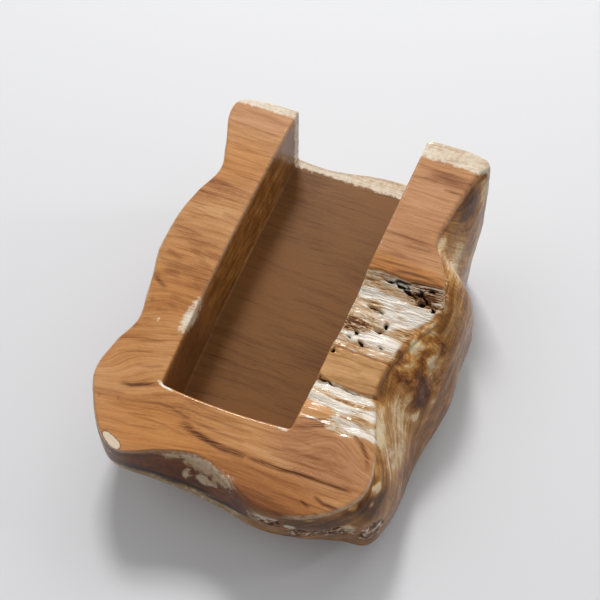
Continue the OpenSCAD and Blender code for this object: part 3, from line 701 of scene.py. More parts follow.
def face_fields(a):
    """The planed face: grain coordinates, whose second number is the way back bent by a fan on the left, a
    knot, the lean of the front and an arc on the right lobe, then patches of tone, and the brown lines."""
    x, y, z = a.x, a.y, a.z
    fan = 0.38 * ease((y + 22) / 22) * ease((46 - y) / 28) * 8 * np.logaddexp(0, (-45 - x) / 8)
    knot = 4 * np.exp(-((x + 76) ** 2 + (y - 40) ** 2) / 150)
    front = ease((8 - y) / 26)
    lean = front * (0.08 * x - 1.6 * np.logaddexp(0, -x / 10)) + 0.05 * (1 - front) * (x + 10)
    arc = 12 * np.exp(-(((x - 66) / 17) ** 2)) * ease((y + 16) / 24) * ease((27 - y) / 14)
    wander = 2.4 * layered(x / 55, y / 55, z / 55, 71, 2) + 0.8 * layered(x / 18, y / 18, z / 18, 72, 2)
    across = y + fan + knot - lean - arc + wander
    grain = np.column_stack([x + 3 * noise(x / 30, y / 30, z / 30, 73), across, -a.drop])
    # Patches of tone; those at the front right are painted shade where the face rolls down to the bevel
    patches = np.zeros((len(x), 3))
    for cx, cy, rx, ry, *shift in TONES:
        patches += ease(1.6 - 1.2 * np.hypot((x - cx) / rx, (y - cy) / ry))[:, None] * np.array(shift)
    mark = face_marks(x, y)
    mark[:, 2] *= a.top * (1 - 0.22 * ease((-40 - x) / 4) * ease((y - 10) / 10))
    return {"grain": grain, "tone": np.clip(patches, -0.2, 1) * (a.top + 0.5 * a.side)[:, None], "mark": mark}


def hollow_fields(a):
    """The hollow: how raw, white, ridged, black and scarred its wood is, and the ledge of sound wood. The
    white is partly painted sheen, and the black partly painted shadow under the ledge's steps.
    """
    x, y = a.x, a.y
    raw = np.interp(a.place, *FIBRE_PROFILE.T) * ease((x + 5) / 30) * ease(a.hollow) * (1 - a.inner)
    raw = raw * (1 - a.over) * torn_share(x, y)
    wx, wy = x + 2.5 * noise(x / 9, y / 5, 0.0, 76), y + 1.2 * noise(x / 9, y / 5, 0.0, 77)
    bleached_and_sheen = np.zeros_like(x)
    for cx, cy, rx, ry, turn, much in BLEACHED_AND_SHEEN:
        inside = ball(wx, wy, 0, cx, cy, 0, rx, ry, 1, turn)
        bleached_and_sheen = np.maximum(bleached_and_sheen, much * ease(1.5 + 1.3 * (inside - 1)))
    _, pits = pit_fields(x, y)
    patchy = 0.5 + 0.8 * noise(x / 7, y / 2, 0.0, 74)
    # Black along the profile: cracks, and painted shadow under the ledge's steps
    black = np.interp(a.place, *BLACK_PROFILE.T) * ease((x - 20) / 20) * patchy
    ledge = ease((a.place - 39) / 2) * ease((64 - a.place) / 2) * ease((x - 20) / 20)
    scar = np.zeros_like(x)
    for cx, cy, rx, ry, reach, much in SCARS:
        scar = scar + much * ease(reach - np.hypot((x - cx) / rx, (y - cy) / ry))
    return {
        # fibre_white carries the white fibre and its painted sheen
        "raw": raw, "fibre_white": raw * (0.25 + 0.75 * bleached_and_sheen), "ridge": fibres(x, y),
        "black": np.maximum(black * a.top, pits * ease(a.hollow / 1.5) * (1 - a.inner)),
        "ledge": ledge * a.top, "scar": scar * a.top * ease(a.hollow),
    }


def sapwood_fields(a):
    """The pale wood: how far inside a patch or the rear end a point is, the oval, and the crown's rim. Three
    patches on the slot's rim are painted reflection and glints, and the crown's rim is pale wood with painted
    highlight.
    """
    x, y, z = a.x, a.y, a.z
    # Sapwood patches; the first three rows are painted reflection and glints at the slot's rim
    sap = np.max([ball(x, y, z, *row) for row in SAPWOOD_AND_GLINTS], axis=0)
    on_face = y - FACE_SAP - FACE_SAP_SKEW * x
    on_side = y - np.interp(x, *REAR_SAP.T) + 6 + 3 * layered(x / 26, z / 12, 0.0, 78, 2)
    rear = (on_face * (1 - a.side) + on_side * a.side) / SAP_BORDER
    # The crown's rim: a thin pale line, partly pale wood and partly painted highlight on the eased edge
    rim = ease((a.below - 0.1) / 0.7) * ease((3.2 - a.below) / 1.6) * (1 - a.in_slot)
    rim = rim * (1 - ease((x - 20) / 8) * ease((62 - x) / 8) * ease(-y / 10))
    rim = rim * (1 - ease(x / 10) * ease((y - 2) / 8))
    oval = np.max([ball(x, y, z, *row) for row in OVALS], axis=0)
    return {"sap": np.clip(np.maximum(sap, rear), -1, 1), "oval": oval, "rim": rim}


def front_fields(a):
    """The front below the face: the sawn bevel, the dark line along its lower edge and the strip under it.
    The bevel's darkness and the dark line are partly painted shade, and the strip's paleness partly painted
    light.
    """
    x = a.x
    front = ease((-a.y - 24) / 5) * ease((x + 60) / 8)
    edge = 19.5 - 0.02 * (x + 50) + 1.2 * noise(x / 14, 0.0, 0.0, 75)
    return {
        "facet": front * ease((a.drop - 1.2) / 1.5) * ease((44 - x) / 12) * ease((edge + 2 - a.drop) / 1.5),
        "strip": front * ease((a.drop - edge) / 1.5) * ease((42 - x) / 12),
        "seam_and_shade": front * ease((36 - x) / 8) * ease(1.6 - np.abs(a.drop - edge) / 1.3),
    }


def edge_fields(a):
    """The live edge: its shift to paler or darker skin, darker towards the foot as painted shade, the burl,
    the torn lower edges and its streaks.
    """
    x, y, z = a.x, a.y, a.z
    stray = [v + 3.4 * layered(x / 9, y / 9, z / 9, seed, 2) for v, seed in ((x, 86), (y, 87), (z, 88))]
    # Paler and darker patches of the skin; the one on the right arm's crest paints its highlight
    honey = sum(row[6] * ease(1.6 * ball(*stray, *row[:6])) for row in SKIN_TONES)
    return {
        # Darker towards the foot of the live edge: painted shade
        "honey": (honey - 0.12 * ease((34 - z) / 26)) * a.side,
        "burl": burl_zone(x, y, z) * (1 - a.inner) * np.maximum(ease((a.below + 1) / 4), a.over),
        "torn": torn_zone(x, y, z) * (1 - a.inner), "level": streak_level(a.s, x, y, z),
    }


def fields(s, p):
    """Values at each point that the wood's material reads: grain coordinates and how much of each zone."""
    a = zones(s, p)
    return {
        "inner": a.inner, "side": a.side, **face_fields(a), **hollow_fields(a), **sapwood_fields(a),
        **front_fields(a), **edge_fields(a),
    }


def paints(group):
    """The colours of a property group by name, as the shaders take them."""
    ending = "_colour"
    return {k[:-len(ending)]: srgb(getattr(group, k)) for k in group.__annotations__ if k.endswith(ending)}


class Board:
    """A material's node tree, with short ways to add and join its nodes. A colour may be given by name."""

    def __init__(self, name, colours):
        self.colours = colours
        self.material = bpy.data.materials.new(name)
        self.material.use_nodes = True
        self.tree = self.material.node_tree
        self.tree.nodes.clear()

    def put(self, kind, settings=None, **inputs):
        """Adds a node, sets its settings and joins or sets its inputs by name or number."""
        node = self.tree.nodes.new(kind)
        for key, value in (settings or {}).items():
            setattr(node, key, value)
        for key, value in inputs.items():
            socket = int(key[1:]) if key[1:].isdigit() else key.replace("_", " ")
            self.feed(node.inputs[socket], value)
        return node

    def feed(self, socket, value):
        """Joins a socket to an output, or sets its value."""
        if isinstance(value, str):
            value = (*self.colours[value], 1)
        if isinstance(value, bpy.types.NodeSocket):
            self.tree.links.new(value, socket)
        else:
            socket.default_value = value

    def sum(self, operation, a, b=0.0, c=0.0, clamp=False):
        """A Math node."""
        settings = {"operation": operation, "use_clamp": clamp}
        return self.put("ShaderNodeMath", settings, _0=a, _1=b, _2=c).outputs[0]

    def times(self, a, b):
        """A product."""
        return self.sum("MULTIPLY", a, b)

    def total(self, first, *rest):
        """A total of two values or more."""
        for value in rest:
            first = self.sum("ADD", first, value)
        return first

    def vector(self, operation, a, b):
        """A Vector Math node."""
        return self.put("ShaderNodeVectorMath", {"operation": operation}, _0=a, _1=b).outputs[0]

    def split(self, vector):
        """The three numbers of a vector."""
        return self.put("ShaderNodeSeparateXYZ", Vector=vector).outputs

    def field(self, name, out="Fac"):
        """One of the piece's own values, stored at its vertices."""
        return self.put("ShaderNodeAttribute", {"attribute_name": name}).outputs[out]

    def band(self, value, low, high, to_low=0.0, to_high=1.0):
        """A smooth step of a value from one level to another."""
        node = self.put("ShaderNodeMapRange", {"interpolation_type": "SMOOTHSTEP"})
        for socket, given in zip(node.inputs, (value, low, high, to_low, to_high)):
            self.feed(socket, given)
        return node.outputs[0]

    def mottle(self, place, scale, detail, rough, bend=0.0):
        """Noise from 0 to 1 at a place."""
        return self.put(
            "ShaderNodeTexNoise", Vector=place, Scale=scale, Detail=detail, Roughness=rough, Distortion=bend
        ).outputs["Fac"]

    def blend(self, share, first, second):
        """One colour laid over another."""
        return self.put("ShaderNodeMix", {"data_type": "RGBA"}, _0=share, _6=first, _7=second).outputs[2]

    def ramp(self, value, *stops):
        """Colours in turn along a value: each stop is a place and a colour's name."""
        node = self.put("ShaderNodeValToRGB", Fac=value)
        marks = node.color_ramp.elements
        while len(marks) < len(stops):
            marks.new(0.5)
        for mark, (at, _) in zip(marks, stops):
            mark.position = at
        for mark, (_, colour) in zip(marks, stops):
            mark.color = (*self.colours[colour], 1)
        return node.outputs["Color"]

    def bumped(self, height, strength):
        """The surface's direction with a height of up to 0.4 mm."""
        return self.put("ShaderNodeBump", Height=height, Strength=strength, Distance=0.0004).outputs[0]

    def finish(self, **inputs):
        """The surface shader and the material's output."""
        shader = self.put("ShaderNodeBsdfPrincipled", **inputs)
        self.put("ShaderNodeOutputMaterial", Surface=shader.outputs[0])
        return self.material


class WoodBoard(Board):
    """The root wood's node tree, with its noises, each made when it is first asked for."""

    def __init__(self, name, colours, middle):
        super().__init__(name, colours)
        place = self.put("ShaderNodeTexCoord").outputs["Object"]
        inputs = {"Vector": place, "Location": tuple(middle), "Scale": (1000, 1000, 1000)}
        self.place = self.put("ShaderNodeMapping", **inputs).outputs[0]
        self.grain = self.field("grain", "Vector")
        self.made = {}

    def noise(self, name):
        """One of the named noises, from 0 to 1."""
        if name not in self.made:
            if name in GRAIN_NOISES:
                along, across, down, *rest = GRAIN_NOISES[name]
                place = self.vector("MULTIPLY", self.grain, (along, across, down))
                self.made[name] = self.mottle(place, 1.0, *rest)
            else:
                self.made[name] = self.mottle(self.place, *BLOCK_NOISES[name])
        return self.made[name]

    def stray(self, name, share):
        """One of the noises about nought, times a share."""
        return self.sum("MULTIPLY_ADD", self.noise(name), share, -0.5 * share)


def heartwood(b):
    """Planed heartwood, and the value behind it: one sum of broad tone, streaks, fine lines and pores, less
    growth rings and patches of tone, read as a ramp of browns."""
    darker, more_amber, more_mauve = b.split(b.field("tone", "Vector"))
    rings = b.sum("MULTIPLY_ADD", b.split(b.grain)[1], 0.27, b.times(b.noise("broad"), 2.6))
    rings = b.band(b.sum("FRACT", rings), 0.70, 0.97)
    rings = b.times(rings, b.band(b.noise("streak"), 0.58, 0.40, 0.0, 0.10))
    value = b.total(
        b.stray("streak", 0.58), b.stray("line", 0.42), b.stray("broad", 0.45), b.stray("pore", 0.30)
    )
    value = b.sum("SUBTRACT", b.total(value, 0.56), b.total(rings, darker))
    wood = b.ramp(value, (0.05, "line"), (0.30, "streak"), (0.47, "amber"), (0.60, "heart"), (0.82, "pale"))
    wood = b.blend(b.times(more_amber, 0.55), wood, b.ramp(value, (0.1, "streak"), (0.7, "orange")))
    wood = b.blend(b.times(more_mauve, 0.60), wood, b.ramp(value, (0.1, "streak"), (0.7, "mauve")))
    return wood, value


def brown_lines(b, wood):
    """Brown lines laid over the wood: soft brown beside each line and dark in it, with a wavering edge."""
    near, width, strength = b.split(b.field("mark", "Vector"))
    far = b.sum("DIVIDE", b.sum("ABSOLUTE", b.total(near, b.stray("line", 1.5))), width)
    ink = b.times(strength, b.band(b.noise("line"), 0.68, 0.42, 0.55, 1.15))
    wood = b.blend(b.sum("MULTIPLY", b.band(far, 2.5, 0.3), ink, clamp=True), wood, "streak")
    return b.blend(b.times(b.band(far, 1.4, 0.2), b.band(ink, 0.45, 1.05)), wood, "line")


def sapwood(b):
    """Sapwood and its share of the surface, with ragged borders. The share also carries the painted
    reflection and glints at the slot's rim.
    """
    loose = b.total(b.stray("ragged", 1.1), b.stray("line", 0.5), b.stray("streak", 0.5))
    share = b.band(b.total(b.field("sap"), loose), 0.0, 0.45)
    value = b.total(b.stray("line", 0.9), b.stray("ragged", 0.9), b.stray("sap_broad", 1.5), 0.62)
    return share, b.ramp(value, (0.25, "sap_brown"), (0.62, "sap"), (0.85, "sap_white"))


def outlined_oval(b, wood):
    """The pale oval in front, inside a brown outline."""
    oval = b.total(b.field("oval"), b.stray("ragged", 0.4))
    wood = b.blend(b.band(oval, -0.28, -0.16), wood, "streak")
    return b.blend(b.band(oval, -0.12, 0.02), wood, "sap")


def hollow_wood(b, wood, value):
    """The hollow laid over the wood: a yellow ledge, then white torn fibres with tan and brown between them,
    browner in its scars and along fine threads. The white partly paints the sheen on the fibres, and the
    brown between them partly paints the shade in the grooves."""
    ledge = b.ramp(value, (0.15, "streak"), (0.55, "tan"))
    wood = b.blend(b.times(b.field("ledge"), 0.55), wood, ledge)
    white = b.total(
        b.stray("torn_fine", 0.95), b.stray("torn_broad", 1.25), b.times(b.field("ridge"), 0.09),
        b.times(b.field("fibre_white"), 0.62), 0.25,
    )
    scar = b.times(b.field("scar"), b.band(b.noise("torn_fine"), 0.40, 0.62, 0.85, 0.0))
    thread = b.band(b.noise("thread"), 0.42, 0.30, 0.0, 0.55)
    white = b.sum("SUBTRACT", b.sum("SUBTRACT", white, scar), thread)
    # White fibre with painted sheen, and groove brown between the fibres with painted shade
    fibre = b.ramp(
        white, (0.02, "burl_dark"), (0.16, "groove"), (0.30, "tan"), (0.50, "sap"), (0.70, "fibre")
    )
    return b.blend(b.band(b.total(b.field("raw"), b.stray("torn_fine", 0.8)), 0.15, 0.40), wood, fibre)


def live_edge(b):
    """Brown skin streaked round the block, with the honey-and-brown burl and the torn lower edges over it."""
    level = b.put("ShaderNodeCombineXYZ", Z=b.field("level")).outputs[0]
    lengthwise = b.vector("MULTIPLY", b.place, (0.020, 0.020, 0.03))
    place = b.vector("ADD", lengthwise, b.vector("MULTIPLY", level, (0, 0, 0.26)))
    streaks = b.mottle(place, 1.0, 4, 0.6, 0.9)
    fine = b.mottle(b.vector("MULTIPLY", place, (2.2, 2.2, 4.6)), 1.0, 4, 0.66, 0.5)
    honey = b.field("honey")
    value = b.total(
        b.sum("MULTIPLY_ADD", streaks, 0.60, -0.30), b.sum("MULTIPLY_ADD", fine, 0.52, -0.26),
        b.stray("clump", 0.70), 0.50, honey,
    )
    skin = b.ramp(
        value, (0.12, "skin_dark"), (0.34, "skin"), (0.50, "skin_honey"), (0.66, "honey"), (0.80, "skin_pale")
    )
    burl = b.ramp(
        b.sum("MULTIPLY_ADD", honey, 0.5, b.noise("clump")),
        (0.33, "line"), (0.41, "burl_dark"), (0.50, "burl"), (0.58, "honey"), (0.68, "burl_pale"),
    )
    skin = b.blend(b.band(b.total(b.field("burl"), b.stray("spot", 0.9)), 0.25, 0.6), skin, burl)
    torn = b.ramp(
        b.total(b.stray("spot", 1.3), b.sum("MULTIPLY_ADD", fine, 0.8, 0.08)),
        (0.30, "crack"), (0.42, "burl_dark"), (0.54, "groove"), (0.62, "sap"), (0.74, "fibre"),
    )
    return b.blend(b.band(b.total(b.field("torn"), b.stray("spot", 1.4)), 0.35, 0.65), skin, torn)


def sawn_front(b, skin, facet):
    """The sawn bevel, the strip under it and the dark line between them, laid over the live edge: the bevel's
    dark colour partly paints its shade, the dark line partly paints the shade in the crease, and the strip's
    pale colour partly paints the light it catches.
    """
    value = b.total(b.noise("streak"), b.stray("ragged", 0.5))
    # Bevel: dark red-brown, partly painted shade
    skin = b.blend(facet, skin, b.ramp(value, (0.36, "line"), (0.52, "facet"), (0.76, "streak")))
    # Strip: pale tan, partly painted light that it catches
    skin = b.blend(b.field("strip"), skin, b.ramp(b.noise("spot"), (0.50, "strip"), (0.68, "skin_pale")))
    # Dark line at the crease between them, partly painted shade
    return b.blend(b.field("seam_and_shade"), skin, "crack")


def wood_material(s, finish):
    """Lacquered root wood: planed heartwood, sapwood and the hollow on top, the live edge and the sawn front
    on the sides, browner sawn wood in the slot, black pits and cracks, and fine relief under the lacquer.
    Some colours paint light: sheen on the hollow's white fibres and highlight on the crown's rim, reflection
    and glints at the slot's rim, light on the strip under the bevel, and shade on the bevel, under the
    hollow's steps and in its grooves."""
    b = WoodBoard("lacquered_root_wood", paints(finish), s.middle)
    wood, value = heartwood(b)
    wood = brown_lines(b, wood)
    sap_share, sap_wood = sapwood(b)
    wood = hollow_wood(b, outlined_oval(b, b.blend(sap_share, wood, sap_wood)), value)

    facet, side = b.field("facet"), b.field("side")
    skin = sawn_front(b, live_edge(b), facet)
    # Sapwood on the bevel is darkened towards the strip colour: painted shade
    skin = b.blend(sap_share, skin, b.blend(b.times(facet, 0.60), sap_wood, "strip"))
    wood = b.blend(side, wood, skin)
    # The crown's rim in sapwood colour: partly pale wood, partly painted highlight
    wood = b.blend(b.times(b.field("rim"), b.band(b.noise("ragged"), 0.35, 0.55, 0.10, 0.55)), wood, "sap")

    slot_wood = b.ramp(value, (0.15, "line"), (0.60, "slot"), (0.9, "streak"))
    wood = b.blend(b.field("inner"), wood, b.blend(sap_share, slot_wood, sap_wood))
    # Black: cracks and pits, and painted shadow under the ledge's steps
    black = b.field("black")
    wood = b.blend(b.band(b.total(black, b.stray("torn_fine", 0.6)), 0.42, 0.72), wood, "crack")

    high = b.times(b.noise("fine"), b.sum("MULTIPLY_ADD", b.field("raw"), 9.0, 0.6))
    high = b.total(high, b.times(b.noise("lumpy"), b.times(side, 3.0)))
    rough = b.sum("SUBTRACT", finish.roughness, b.times(b.field("fibre_white"), 0.16))
    rough = b.total(rough, b.times(black, 0.25))
    return b.finish(
        Base_Color=wood, Roughness=rough, Normal=b.bumped(high, 0.5), Specular_IOR_Level=0.12,
        Coat_Weight=finish.lacquer, Coat_Roughness=finish.lacquer_roughness, Coat_IOR=1.5,
    )


def felt_material(finish):
    """Matt felt: matted noise in two pitches for colour and relief, with a little sheen."""
    b = Board("matt_felt", paints(finish))
    place = b.put("ShaderNodeTexCoord").outputs["Object"]
    mat = b.mottle(place, 900.0, 4, 0.7, 1.0)
    tuft = b.mottle(place, 260.0, 3, 0.6, 0.5)
    wool = b.blend(b.band(b.total(b.times(mat, 0.6), b.times(tuft, 0.4)), 0.40, 0.62), "felt", "felt_pale")
    return b.finish(
        Base_Color=wool, Roughness=0.95, Normal=b.bumped(b.total(mat, tuft), 0.7), Sheen_Weight=0.3,
        Sheen_Roughness=0.5,
    )


def floor_material(stage):
    """Matt floor that the camera, reflections and glass see as pale, and that throws little light back up."""
    colours = paints(stage)
    colours["shade"] = tuple(0.3 * c for c in colours["floor"])
    b = Board("pale_floor", colours)
    path = b.put("ShaderNodeLightPath").outputs
    seen = b.sum("MAXIMUM", path["Is Glossy Ray"], path["Is Transmission Ray"])
    seen = b.sum("MAXIMUM", path["Is Camera Ray"], seen)
    return b.finish(Base_Color=b.blend(seen, "shade", "floor"), Roughness=0.85, Specular_IOR_Level=0.2)


def size(name, text, metres, low, high):
    """A length that a user may change."""
    limits = {"min": low, "max": high, "unit": "LENGTH", "precision": 4}
    return FloatProperty(name=name, description=text, default=metres, **limits)


def angle(name, text, degrees, low, high):
    """An angle that a user may change, given in degrees."""
    default, low, high = (math.radians(v) for v in (degrees, low, high))
    return FloatProperty(name=name, description=text, default=default, min=low, max=high, subtype="ANGLE")


def amount(name, text, value, low=0.0):
    """An amount of up to 1 that a user may change."""
    return FloatProperty(name=name, description=text, default=value, min=low, max=1)


def power(name, text, value):
    """A lamp's strength that a user may change."""
    return FloatProperty(name=name, description=text, default=value, min=0, subtype="POWER")


def tone(name, text, red, green, blue):
    """A colour that a user may change, given in screen values out of 255."""
    default = (red / 255, green / 255, blue / 255)
    return FloatVectorProperty(
        name=name, description=text, default=default, min=0, max=1, size=3, subtype="COLOR_GAMMA"
    )


class CoasterBlock(bpy.types.PropertyGroup):
    """Sizes of the block and its slot."""

    width: size("Width", "Width of the block at its widest, across the slot", 0.204, 0.18, 0.24)
    length: size("Length", "Length of the block along the slot, measured level", 0.256, 0.23, 0.30)
    face_height: size("Face height", "Height of the planed face at the slot's near wall", 0.078, 0.07, 0.095)
    face_slope: angle("Face slope", "Slope of the planed face, rising to the rear", 11, 7, 14)
    slot_from_left: size("Slot from left", "From the left edge to the middle of the slot", 0.087, 0.08, 0.10)
    front_wall: size("Front wall", "Wood left in front of the slot", 0.050, 0.04, 0.06)
    slot_width: size("Slot width", "Width of the slot at its near wall", 0.081, 0.076, 0.09)
    slot_rear_width: size("Rear slot width", "Width of the slot at its open rear end", 0.086, 0.078, 0.094)
    slot_depth: size("Slot depth", "Depth of the slot, square to the planed face", 0.046, 0.03, 0.05)
    slot_bow: size("Slot bow", "How far the left wall of the slot bows outwards", 0.003, 0, 0.005)
    near_wall_skew: size("Near wall skew", "How far the near wall is out of square", 0.006, 0, 0.01)
    bevel_drop: size("Bevel drop", "Drop of the sawn bevel along the front", 0.020, 0.01, 0.026)
    edge_radius: size("Edge radius", "Radius of the sanded edge round the face", 0.003, 0.001, 0.005)
    hollow_depth: size("Hollow depth", "Depth of the weathered hollow in the right arm", 0.010, 0, 0.014)
    flute_depth: size("Flute depth", "Depth of the flutes in the live edge", 0.002, 0, 0.004)
    rim_radius: size("Rim radius", "Radius of the slot's sanded rim", 0.0012, 0.0004, 0.002)
    pad_thickness: size("Pad thickness", "Thickness of the felt pads under the block", 0.003, 0.001, 0.005)


class CoasterFinish(bpy.types.PropertyGroup):
    """Colours and lacquer of the wood, and the colour of the felt."""

    heart_colour: tone("Heartwood", "Main colour of the planed wood", 202, 148, 96)
    amber_colour: tone("Amber heartwood", "Browner parts of the planed wood", 184, 128, 78)
    pale_colour: tone("Pale streaks", "Palest streaks of the planed wood", 220, 176, 128)
    orange_colour: tone("Orange patches", "Orange tone of the front left", 212, 136, 56)
    mauve_colour: tone("Mauve patches", "Cooler tone of the right arm", 196, 142, 108)
    streak_colour: tone("Streaks", "Darker streaks along the grain", 140, 86, 46)
    line_colour: tone("Dark lines", "Dark lines in the grain", 84, 44, 20)
    crack_colour: tone("Cracks", "Cracks, slits and pits", 30, 18, 12)
    # Sapwood colour, which also paints the reflection and glints at the slot's rim and the highlight along
    # the crown's rim
    sap_colour: tone("Sapwood", "Patches of sapwood", 226, 206, 180)
    sap_white_colour: tone("Palest sapwood", "Palest parts of the sapwood", 240, 228, 210)
    sap_brown_colour: tone("Sapwood streaks", "Streaks in the sapwood", 180, 142, 106)
    tan_colour: tone("Ledge", "Sound wood in the hollow", 210, 165, 112)
    # Torn fibre white, which also paints the sheen on the fibres
    fibre_colour: tone("Torn fibre", "Bleached fibre in the hollow", 250, 240, 226)
    # Groove brown, which partly paints the shade between the fibres
    groove_colour: tone("Grooves", "Grooves between torn fibres", 160, 110, 62)
    skin_dark_colour: tone("Dark live edge", "Darkest streaks of the live edge", 62, 32, 10)
    skin_colour: tone("Live edge", "Brown skin of the live edge", 118, 74, 28)
    skin_honey_colour: tone("Live edge brown", "Middle tone of the live edge", 156, 102, 46)
    honey_colour: tone("Honey", "Honey streaks of the live edge", 198, 146, 82)
    skin_pale_colour: tone("Live edge pale", "Pale streaks of the live edge", 238, 212, 170)
    burl_colour: tone("Burl", "Amber parts of the burl", 164, 106, 46)
    burl_dark_colour: tone("Dark burl", "Dark parts of the burl", 108, 58, 20)
    burl_pale_colour: tone("Pale burl", "Pale clumps in the burl", 222, 202, 164)
    # The bevel's dark red-brown partly paints the shade it lies in
    facet_colour: tone("Bevel", "Sawn bevel along the front", 112, 56, 16)
    # The strip's pale tan partly paints the light it catches; on the bevel it also darkens the sapwood as
    # painted shade
    strip_colour: tone("Front strip", "Strip under the sawn bevel", 170, 134, 82)
    slot_colour: tone("Slot", "Sawn wood inside the slot", 136, 92, 50)
    roughness: amount("Roughness", "Roughness of the wood under its lacquer", 0.45, 0.1)
    lacquer: amount("Lacquer", "How much lacquer lies on the wood", 0.42)
    lacquer_roughness: amount("Lacquer roughness", "Roughness of the lacquer", 0.10)
    felt_colour: tone("Felt", "Main colour of the felt pads", 58, 54, 50)
    felt_pale_colour: tone("Felt tufts", "Paler tufts of the felt", 92, 86, 80)


class CoasterStage(bpy.types.PropertyGroup):
    """The studio."""

    floor_colour: tone("Floor", "Colour of the floor", 226, 226, 228)
    key_power: power("Key lamp", "Strength of the lamp behind the object", 24.0)
    top_power: power("Top lamp", "Strength of the broad lamp behind", 10.0)
    side_power: power("Side lamp", "Strength of the lamp on the right", 3.0)
    fill_power: power("Fill lamp", "Strength of the lamp on the left", 6.0)
    sky: FloatProperty(
        name="Sky", description="Strength of the even light from all round", default=0.36, min=0,
    )


class COASTER_OT_block(bpy.types.Operator):
    """Lofts the root block, cuts its slot and lacquers it"""

    bl_idname = "coaster.block"
    bl_label = "Root block"

    def execute(self, context):
        s = block_sizes(context)
        rows, share = shell_grid(s)
        rows = rows + grid_normals(rows) * (relief(s, rows) * share)[..., None]
        rows[..., 2] = np.maximum(rows[..., 2], s.pad_thickness)
        block = linked("carved_root_block", mesh_from_rings("carved_root_block", (rows - s.middle) / 1000))
        cutter = linked("slot_cutter", mesh_from_rings("slot_cutter", (slot_grid(s) - s.middle) / 1000, True))
        cut = block.modifiers.new("slot", "BOOLEAN")
        cut.operation, cut.solver, cut.object = "DIFFERENCE", "MANIFOLD", cutter
        context.view_layer.update()
        carved = bpy.data.meshes.new_from_object(block.evaluated_get(context.evaluated_depsgraph_get()))
        carved.name = "carved_root_block_mesh"
        block.modifiers.clear()
        block.data = carved
        bpy.data.objects.remove(cutter)
        if len(carved.polygons) < FEWEST_FACES:
            raise RuntimeError("the slot wasn't cut out of the block")
        points = np.empty(len(carved.vertices) * 3, np.float32)
        carved.vertices.foreach_get("co", points)
        for name, values in fields(s, points.reshape(-1, 3).astype(float) * 1000 + s.middle).items():
            vector = values.ndim == 2
            made = carved.attributes.new(name, "FLOAT_VECTOR" if vector else "FLOAT", "POINT")
            made.data.foreach_set("vector" if vector else "value", values.astype(np.float32).ravel())
        surfaced(carved, wood_material(s, context.scene.coaster_finish), 50)
        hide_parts("root_block")
        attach(block, "root")
        return {"FINISHED"}


class COASTER_OT_pads(bpy.types.Operator):
    """Makes the four felt pads under the block"""

    bl_idname = "coaster.pads"
    bl_label = "Felt pads"

    def execute(self, context):
        felt = felt_material(context.scene.coaster_finish)
        for node in ("pad_front_left", "pad_front_right", "pad_rear_left", "pad_rear_right"):
            pad = linked("felt_" + node, mesh_from_rings("felt_" + node, self.rings(*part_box(node))))
            surfaced(pad.data, felt, 60)
            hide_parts(node)
            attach(pad, "root")
        return {"FINISHED"}

    def rings(self, low, high):
        """A disc turned from a profile: from the underside's centre, round a soft lower rim, up the wall and
        in again under the block, with a fuzzy outline and an uneven underside made by noise."""
        radius, height = (high.x - low.x) / 2, high.z - low.z
        a = np.linspace(0, np.pi / 2, 6)[1:]
        r = np.concatenate([
            np.linspace(PAD_MIDDLE, 1, 14) * (radius - PAD_RIM), radius - PAD_RIM + PAD_RIM * np.sin(a),
            np.full(5, radius), np.linspace(1, PAD_MIDDLE, 8)[1:] * radius,
        ])[:, None]
        z = np.concatenate([
            np.zeros(14), PAD_RIM * (1 - np.cos(a)), np.linspace(PAD_RIM, height, 6)[1:], np.full(7, height),
        ])[:, None]
        turn = np.linspace(0, 2 * np.pi, PAD_ROUND, endpoint=False)
        x, y = r * np.cos(turn), r * np.sin(turn)
        fuzz = 1 + PAD_FUZZ * layered(x * 900, y * 900, z * 900, 81) * (r > 0.6 * radius)
        lift = PAD_LIFT * (1 + layered(x * 700, y * 700, 0.0, 82)) * (z < 1e-9)
        middle_x, middle_y = (low.x + high.x) / 2, (low.y + high.y) / 2
        return np.stack([middle_x + x * fuzz, middle_y + y * fuzz, low.z + z + lift], -1)


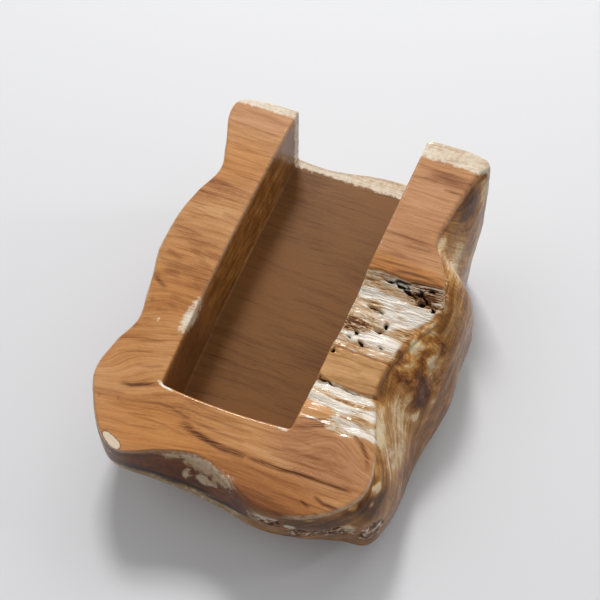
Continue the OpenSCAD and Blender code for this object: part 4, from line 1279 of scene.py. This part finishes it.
class COASTER_OT_stage(bpy.types.Operator):
    """Sets up the floor, the lamps and the camera"""

    bl_idname = "coaster.stage"
    bl_label = "Studio"

    def execute(self, context):
        g = context.scene.coaster_stage
        self.floor(g)
        self.camera(context.scene, block_sizes(context))
        lamps = (
            ("key_lamp", g.key_power, 0.40, (-0.60, 1.10, 1.70)),
            ("side_lamp", g.side_power, 0.25, (1.40, 0.90, 1.00)),
            ("top_lamp", g.top_power, 1.60, (0.15, 1.70, 1.60)),
            ("fill_lamp", g.fill_power, 1.50, (-1.50, -0.60, 1.90)),
        )
        for lamp in lamps:
            self.lamp(context.scene, *lamp)
        world = context.scene.world or bpy.data.worlds.new("studio")
        context.scene.world = world
        world.use_nodes = True
        sky = world.node_tree.nodes["Background"]
        sky.inputs["Color"].default_value = (1, 1, 1, 1)
        sky.inputs["Strength"].default_value = g.sky
        context.scene.view_settings.view_transform = "Standard"
        return {"FINISHED"}

    def floor(self, g):
        """A flat floor of four squares."""
        reach = np.linspace(-FLOOR_REACH, FLOOR_REACH, 3)
        x, y = np.meshgrid(reach, reach)
        mesh = bpy.data.meshes.new("floor")
        corners = np.array([(a, a + 1, a + 4, a + 3) for a in (0, 1, 3, 4)])
        mesh.from_pydata(np.column_stack([x.ravel(), y.ravel(), np.zeros(9)]).tolist(), [], corners.tolist())
        mesh.materials.append(floor_material(g))
        floor = linked("floor", mesh)

    def camera(self, scene, s):
        """The camera: its right-hand way turned on the level, its back raised, and its up square to both."""
        turn, rise = math.radians(VIEW_TURN), math.radians(VIEW_RISE)
        right = Vector((math.cos(turn), math.sin(turn), 0))
        back = Vector((math.sin(turn) * math.cos(rise), -math.cos(turn) * math.cos(rise), math.sin(rise)))
        place = (Vector(VIEW_PLACE) - Vector(s.middle)) / 1000
        rows = zip(zip(right, back.cross(right), back), place)
        lens = bpy.data.cameras.new("camera")
        lens.lens, lens.sensor_width, lens.clip_start = FOCAL, SENSOR, 0.01
        camera = bpy.data.objects.new("camera", lens)
        camera.matrix_world = Matrix([(*row, at) for row, at in rows] + [(0, 0, 0, 1)])
        scene.collection.objects.link(camera)
        scene.camera = camera

    def lamp(self, scene, name, power, width, at):
        """A square soft lamp that faces the object from a place given from the object."""
        light = bpy.data.lights.new(name, "AREA")
        light.energy, light.size, light.shape = power, width, "SQUARE"
        lamp = bpy.data.objects.new(name, light)
        lamp.location = Vector(LAMP_AIM) + Vector(at)
        lamp.rotation_euler = Vector(at).to_track_quat("Z", "Y").to_euler()
        scene.collection.objects.link(lamp)


class COASTER_PT_panel(bpy.types.Panel):
    """Lists the pieces, their sizes and their colours"""

    bl_idname = "COASTER_PT_panel"
    bl_label = "Bottle coaster"
    bl_space_type = "VIEW_3D"
    bl_region_type = "UI"
    bl_category = "Coaster"

    def draw(self, context):
        scene = context.scene
        parts = (
            (COASTER_OT_block, scene.coaster_block), (COASTER_OT_pads, scene.coaster_finish),
            (COASTER_OT_stage, scene.coaster_stage),
        )
        for operator, group in parts:
            self.layout.operator(operator.bl_idname)
            column = self.layout.column()
            for key in group.__annotations__:
                column.prop(group, key)


CLASSES = (
    CoasterBlock, CoasterFinish, CoasterStage, COASTER_OT_block, COASTER_OT_pads, COASTER_OT_stage,
    COASTER_PT_panel,
)


def register():
    for cls in CLASSES:
        bpy.utils.register_class(cls)
    bpy.types.Scene.coaster_block = PointerProperty(type=CoasterBlock)
    bpy.types.Scene.coaster_finish = PointerProperty(type=CoasterFinish)
    bpy.types.Scene.coaster_stage = PointerProperty(type=CoasterStage)


def unregister():
    del bpy.types.Scene.coaster_stage
    del bpy.types.Scene.coaster_finish
    del bpy.types.Scene.coaster_block
    for cls in reversed(CLASSES):
        bpy.utils.unregister_class(cls)


def main():
    register()
    bpy.ops.coaster.stage()
    bpy.ops.coaster.block()
    bpy.ops.coaster.pads()


if __name__ == "__main__":
    main()
